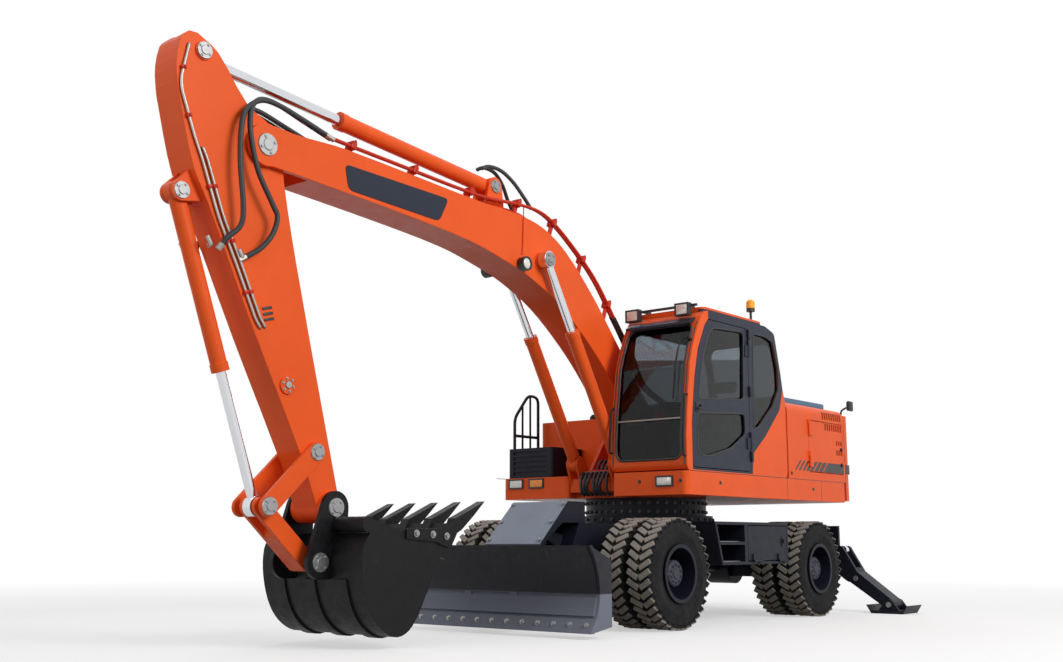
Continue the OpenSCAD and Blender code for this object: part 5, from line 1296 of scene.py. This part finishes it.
def seat_stand():
    """The seat's plinth, bellows and armrests."""
    rows = [((120, -180, 0), (375, 180, 60)), ((110, -200, 270), (490, 200, 318))]
    rows += [((130, -170, 60 + 42 * i), (365, 170, 98 + 42 * i)) for i in range(5)]
    blocks("seat_plinth", rows, trim_plastic, "house", 12, SEAT)
    rows = [((60, y - 32, 500), (360, y + 32, 545)) for y in (-270, 270)]
    blocks("armrests", rows, trim_plastic, "house", 14, SEAT)


def levers():
    """Two joysticks with rubber boots, and the monitor on its post."""
    bm = bmesh.new()
    for side in (-1, 1):
        foot = spot((130, SEAT_Y + side * 329, FLOOR_Z + 458))
        top = foot + Vector((0.03, -0.01 * side, 0.15))
        bar(bm, foot, foot + Vector((0.01, 0, 0.06)), 44, 18, 16)
        bar(bm, foot, top, 12, sides=12)
        bar(bm, top - Vector((0, 0, 0.05)), top + Vector((0.012, 0, 0.07)), 22, 27, 16)
    piece("joysticks", bm, trim_plastic, "house")
    rows = [((640, 430, FLOOR_Z), (670, 460, 2080)), ((630, 400, 2060), (664, 560, 2190))]
    blocks("monitor", rows, trim_plastic, "house", 6)


# Undercarriage

def slew_bolts():
    bm = bmesh.new()
    for r, z, n in ((722, 1050, 36), (652, 1130, 44), (652, 1222, 44)):
        for i in range(n):
            turn = 2 * math.pi * (i + 0.5) / n
            out = Vector((math.cos(turn), math.sin(turn), 0))
            bolt(bm, spot((r * out.x, r * out.y, z)), out, 13, 12)
    piece("slew_bolts", bm, dark_steel, "chassis")


HUB_FACE_Y = 1190
TREAD_PITCH = 18
TYRE_WIDTH = 275
TYRE_ROWS_Y = (787, 1112)
LUG_SIZE = (52, 132, 43)
LUG_MIDDLE_R = 500
LUG_TURN = math.radians(32)


def tread_lugs(bm, x, side):
    """Chevron lugs half way between the carcass's own, on both tyres of a pair."""
    for tyre_y in TYRE_ROWS_Y:
        for row in (-1, 1):
            for i in range(TREAD_PITCH):
                turn = 2 * math.pi * (i + (3 - row) / 4 - 0.5) / TREAD_PITCH
                place = (MACHINE @ Matrix.Translation((x, side * tyre_y, AXLE_Z))
                         @ Matrix.Rotation(turn, 4, "Y")
                         @ Matrix.Translation((0, side * row * 0.24 * TYRE_WIDTH, LUG_MIDDLE_R))
                         @ Matrix.Rotation(side * row * LUG_TURN, 4, "Z"))
                a = Vector(LUG_SIZE) / 2
                soften(bm, box(bm, -a, a, place), 4, 1)


def hub(bm, x, side):
    """The hub's drum, standing out of the dish, with its ring of bolts."""
    out = Vector((0, side, 0))
    foot, shoulder, face = (spot((x, side * y, AXLE_Z)) for y in (1040, HUB_FACE_Y - 16, HUB_FACE_Y))
    bar(bm, foot, shoulder, 128, 126, 48)
    bar(bm, shoulder, face, 126, 108, 48)
    bar(bm, face, face + out * 0.008, 52, 48, 36)
    bolt_circle(bm, (x, side * HUB_FACE_Y, AXLE_Z), side, 84, 10, 10, 8, start=0.5)


def wheel_fittings():
    """Hubs, nuts on the discs, ribs round the tyres' walls and the rest of the tread."""
    for end, x, rubber in (("front", FRONT_AXLE_X, front_rubber), ("rear", REAR_AXLE_X, rear_rubber)):
        for side, word in SIDES:
            body = f"wheels_{end}_{word}"
            out = Vector((0, side, 0))
            nuts, ribs, hubs, lugs = (bmesh.new() for _ in range(4))
            bolt_circle(nuts, (x, side * 962, AXLE_Z), side, 192, 10, 17, 26)
            stem = spot((x + 205, side * 1180, AXLE_Z))
            bar(nuts, stem, stem + out * 0.05 - Vector((0.02, 0, 0)), 7, sides=10)
            for r, y in ((332, 1230), (420, 1233)):
                ring(ribs, spot((x, side * y, AXLE_Z)), out, r + 5, r - 5, 8, 64)
            hub(hubs, x, side)
            tread_lugs(lugs, x, side)
            piece(f"wheel_nuts_{end}_{word}", nuts, pin_steel, body)
            piece(f"tyre_ribs_{end}_{word}", ribs, rubber, body)
            piece(f"hub_{end}_{word}", hubs, hub_paint, body)
            piece(f"tyre_tread_{end}_{word}", lugs, rubber, body)


def step_treads():
    """Ribbed treads in the step openings, and the toolbox's latch."""
    rows = []
    for z, end in ((620, 380), (819, 430)):
        rows += [((0, 920 + 56 * i, z - 2), (end, 942 + 56 * i, z + 8)) for i in range(5)]
    blocks("step_treads", both(rows), pin_steel, "chassis", 2)
    rows = [((-842, 1196, 770), (-806, 1206, 880)), ((-834, 1202, 800), (-814, 1222, 850))]
    blocks("toolbox_latch", rows, black_paint, "toolbox_lid", 4)


def blade_bolts():
    bm = bmesh.new()
    out = Vector((0.85, 0, 0.53))
    for i in range(14):
        bolt(bm, spot((2622, -1170 + 180 * i, 118)), out, 17, 14)
    piece("blade_bolts", bm, pin_steel, "blade")


def cover_bolts():
    bm = bmesh.new()
    for share in (0.08, 0.5, 0.92):
        for y in (-315, 315):
            bolt(bm, spot((1826 + 420 * share, y, 1213 - 405 * share)), (0.694, 0, 0.72), 13, 9)
    piece("cover_bolts", bm, pin_steel, "chassis")


BLADE_X = 2580
BLADE_CLEAR = 50
BLADE_H = 740
BLADE_FACE_SHARES = [(0.10, 0), (0.0, 0.16), (-0.06, 0.36), (-0.06, 0.58), (0.0, 0.8), (0.12, 1)]


def blade_liners():
    """Two wear plates on the mouldboard's hollow face, above the cutting edge."""
    bm = bmesh.new()
    shares = [Vector((BLADE_X + s * BLADE_H, 0, BLADE_CLEAR + t * BLADE_H)) for s, t in BLADE_FACE_SHARES]
    face = curve_through(shares, 6)
    for low, high, proud in ((7, 14, 17), (14, 31, 14)):
        run = face[low:high]
        front = [p + Vector((proud, -1215, 0)) for p in run]
        back = [p + Vector((-10, -1215, 0)) for p in reversed(run)]
        plate(bm, spots(front + back), 2430, (0, 1, 0))
    piece("blade_liners", bm, blade_paint, "blade", 30)


# Face, place and direction of the pins' ends in a leg
LEG_PINS = [(-2622, 1574, 99, 1), (-2918, 1574, 99, -1), (-2650, 1167, 390, 1), (-2890, 1167, 390, -1)]


def stabiliser_fittings():
    """Tail lamps on the rear box, and pins in the legs."""
    rows = [((-2954, y - 70, 900), (-2930, y + 70, 980)) for y in (-620, 620)]
    blocks("rear_lamp_lenses", rows, red_lens, "chassis", 6)
    for side, word in SIDES:
        bm = bmesh.new()
        for x, y, z, out in LEG_PINS:
            at = spot((x, side * y, z))
            bar(bm, at, at + Vector((out * 0.014, 0, 0)), 34, 30, 24)
        piece(f"leg_pins_{word}", bm, pin_steel, f"stabiliser_{word}")


# Bucket and arm

def bucket_fittings():
    """Bolts in the side cutters."""
    bm = bmesh.new()
    for side in (-1, 1):
        for s, t in ((-0.64, -0.165), (-0.52, -0.155), (-0.38, -0.15)):
            bolt(bm, spot((4635 + 1340 * s, side * 618, 1088 + 1340 * t)), (0, side, 0), 20, 15)
    piece("bucket_bolts", bm, pin_steel, "bucket")


def arm_fittings():
    """Vent marks, and elbows where the hoses meet the pipes."""
    y0, y1 = ARM_HALF_W - 2, ARM_HALF_W + 7
    rows = [((1250 + 44 * i, y0, 205), (1272 + 44 * i, y1, 300)) for i in range(3)]
    blocks("arm_marks", both(rows), trim_plastic, "arm", 3, ARM)
    routes = []
    for side in (-1, 1):
        y0, y1 = side * (ARM_HALF_W - 10), side * (ARM_HALF_W + 30)
        for a, h in ((734, 681), (859, 416)):
            routes.append([(a, y0, h), (a, y1, h), (a - 70, y1, h + 24)])
    pipework("arm_elbows", routes, 17, zinc_steel, "arm", ARM, 20)


seat_pads()
seat_stand()
levers()
slew_bolts()
wheel_fittings()
step_treads()
blade_bolts()
cover_bolts()
blade_liners()
stabiliser_fittings()
bucket_fittings()
arm_fittings()
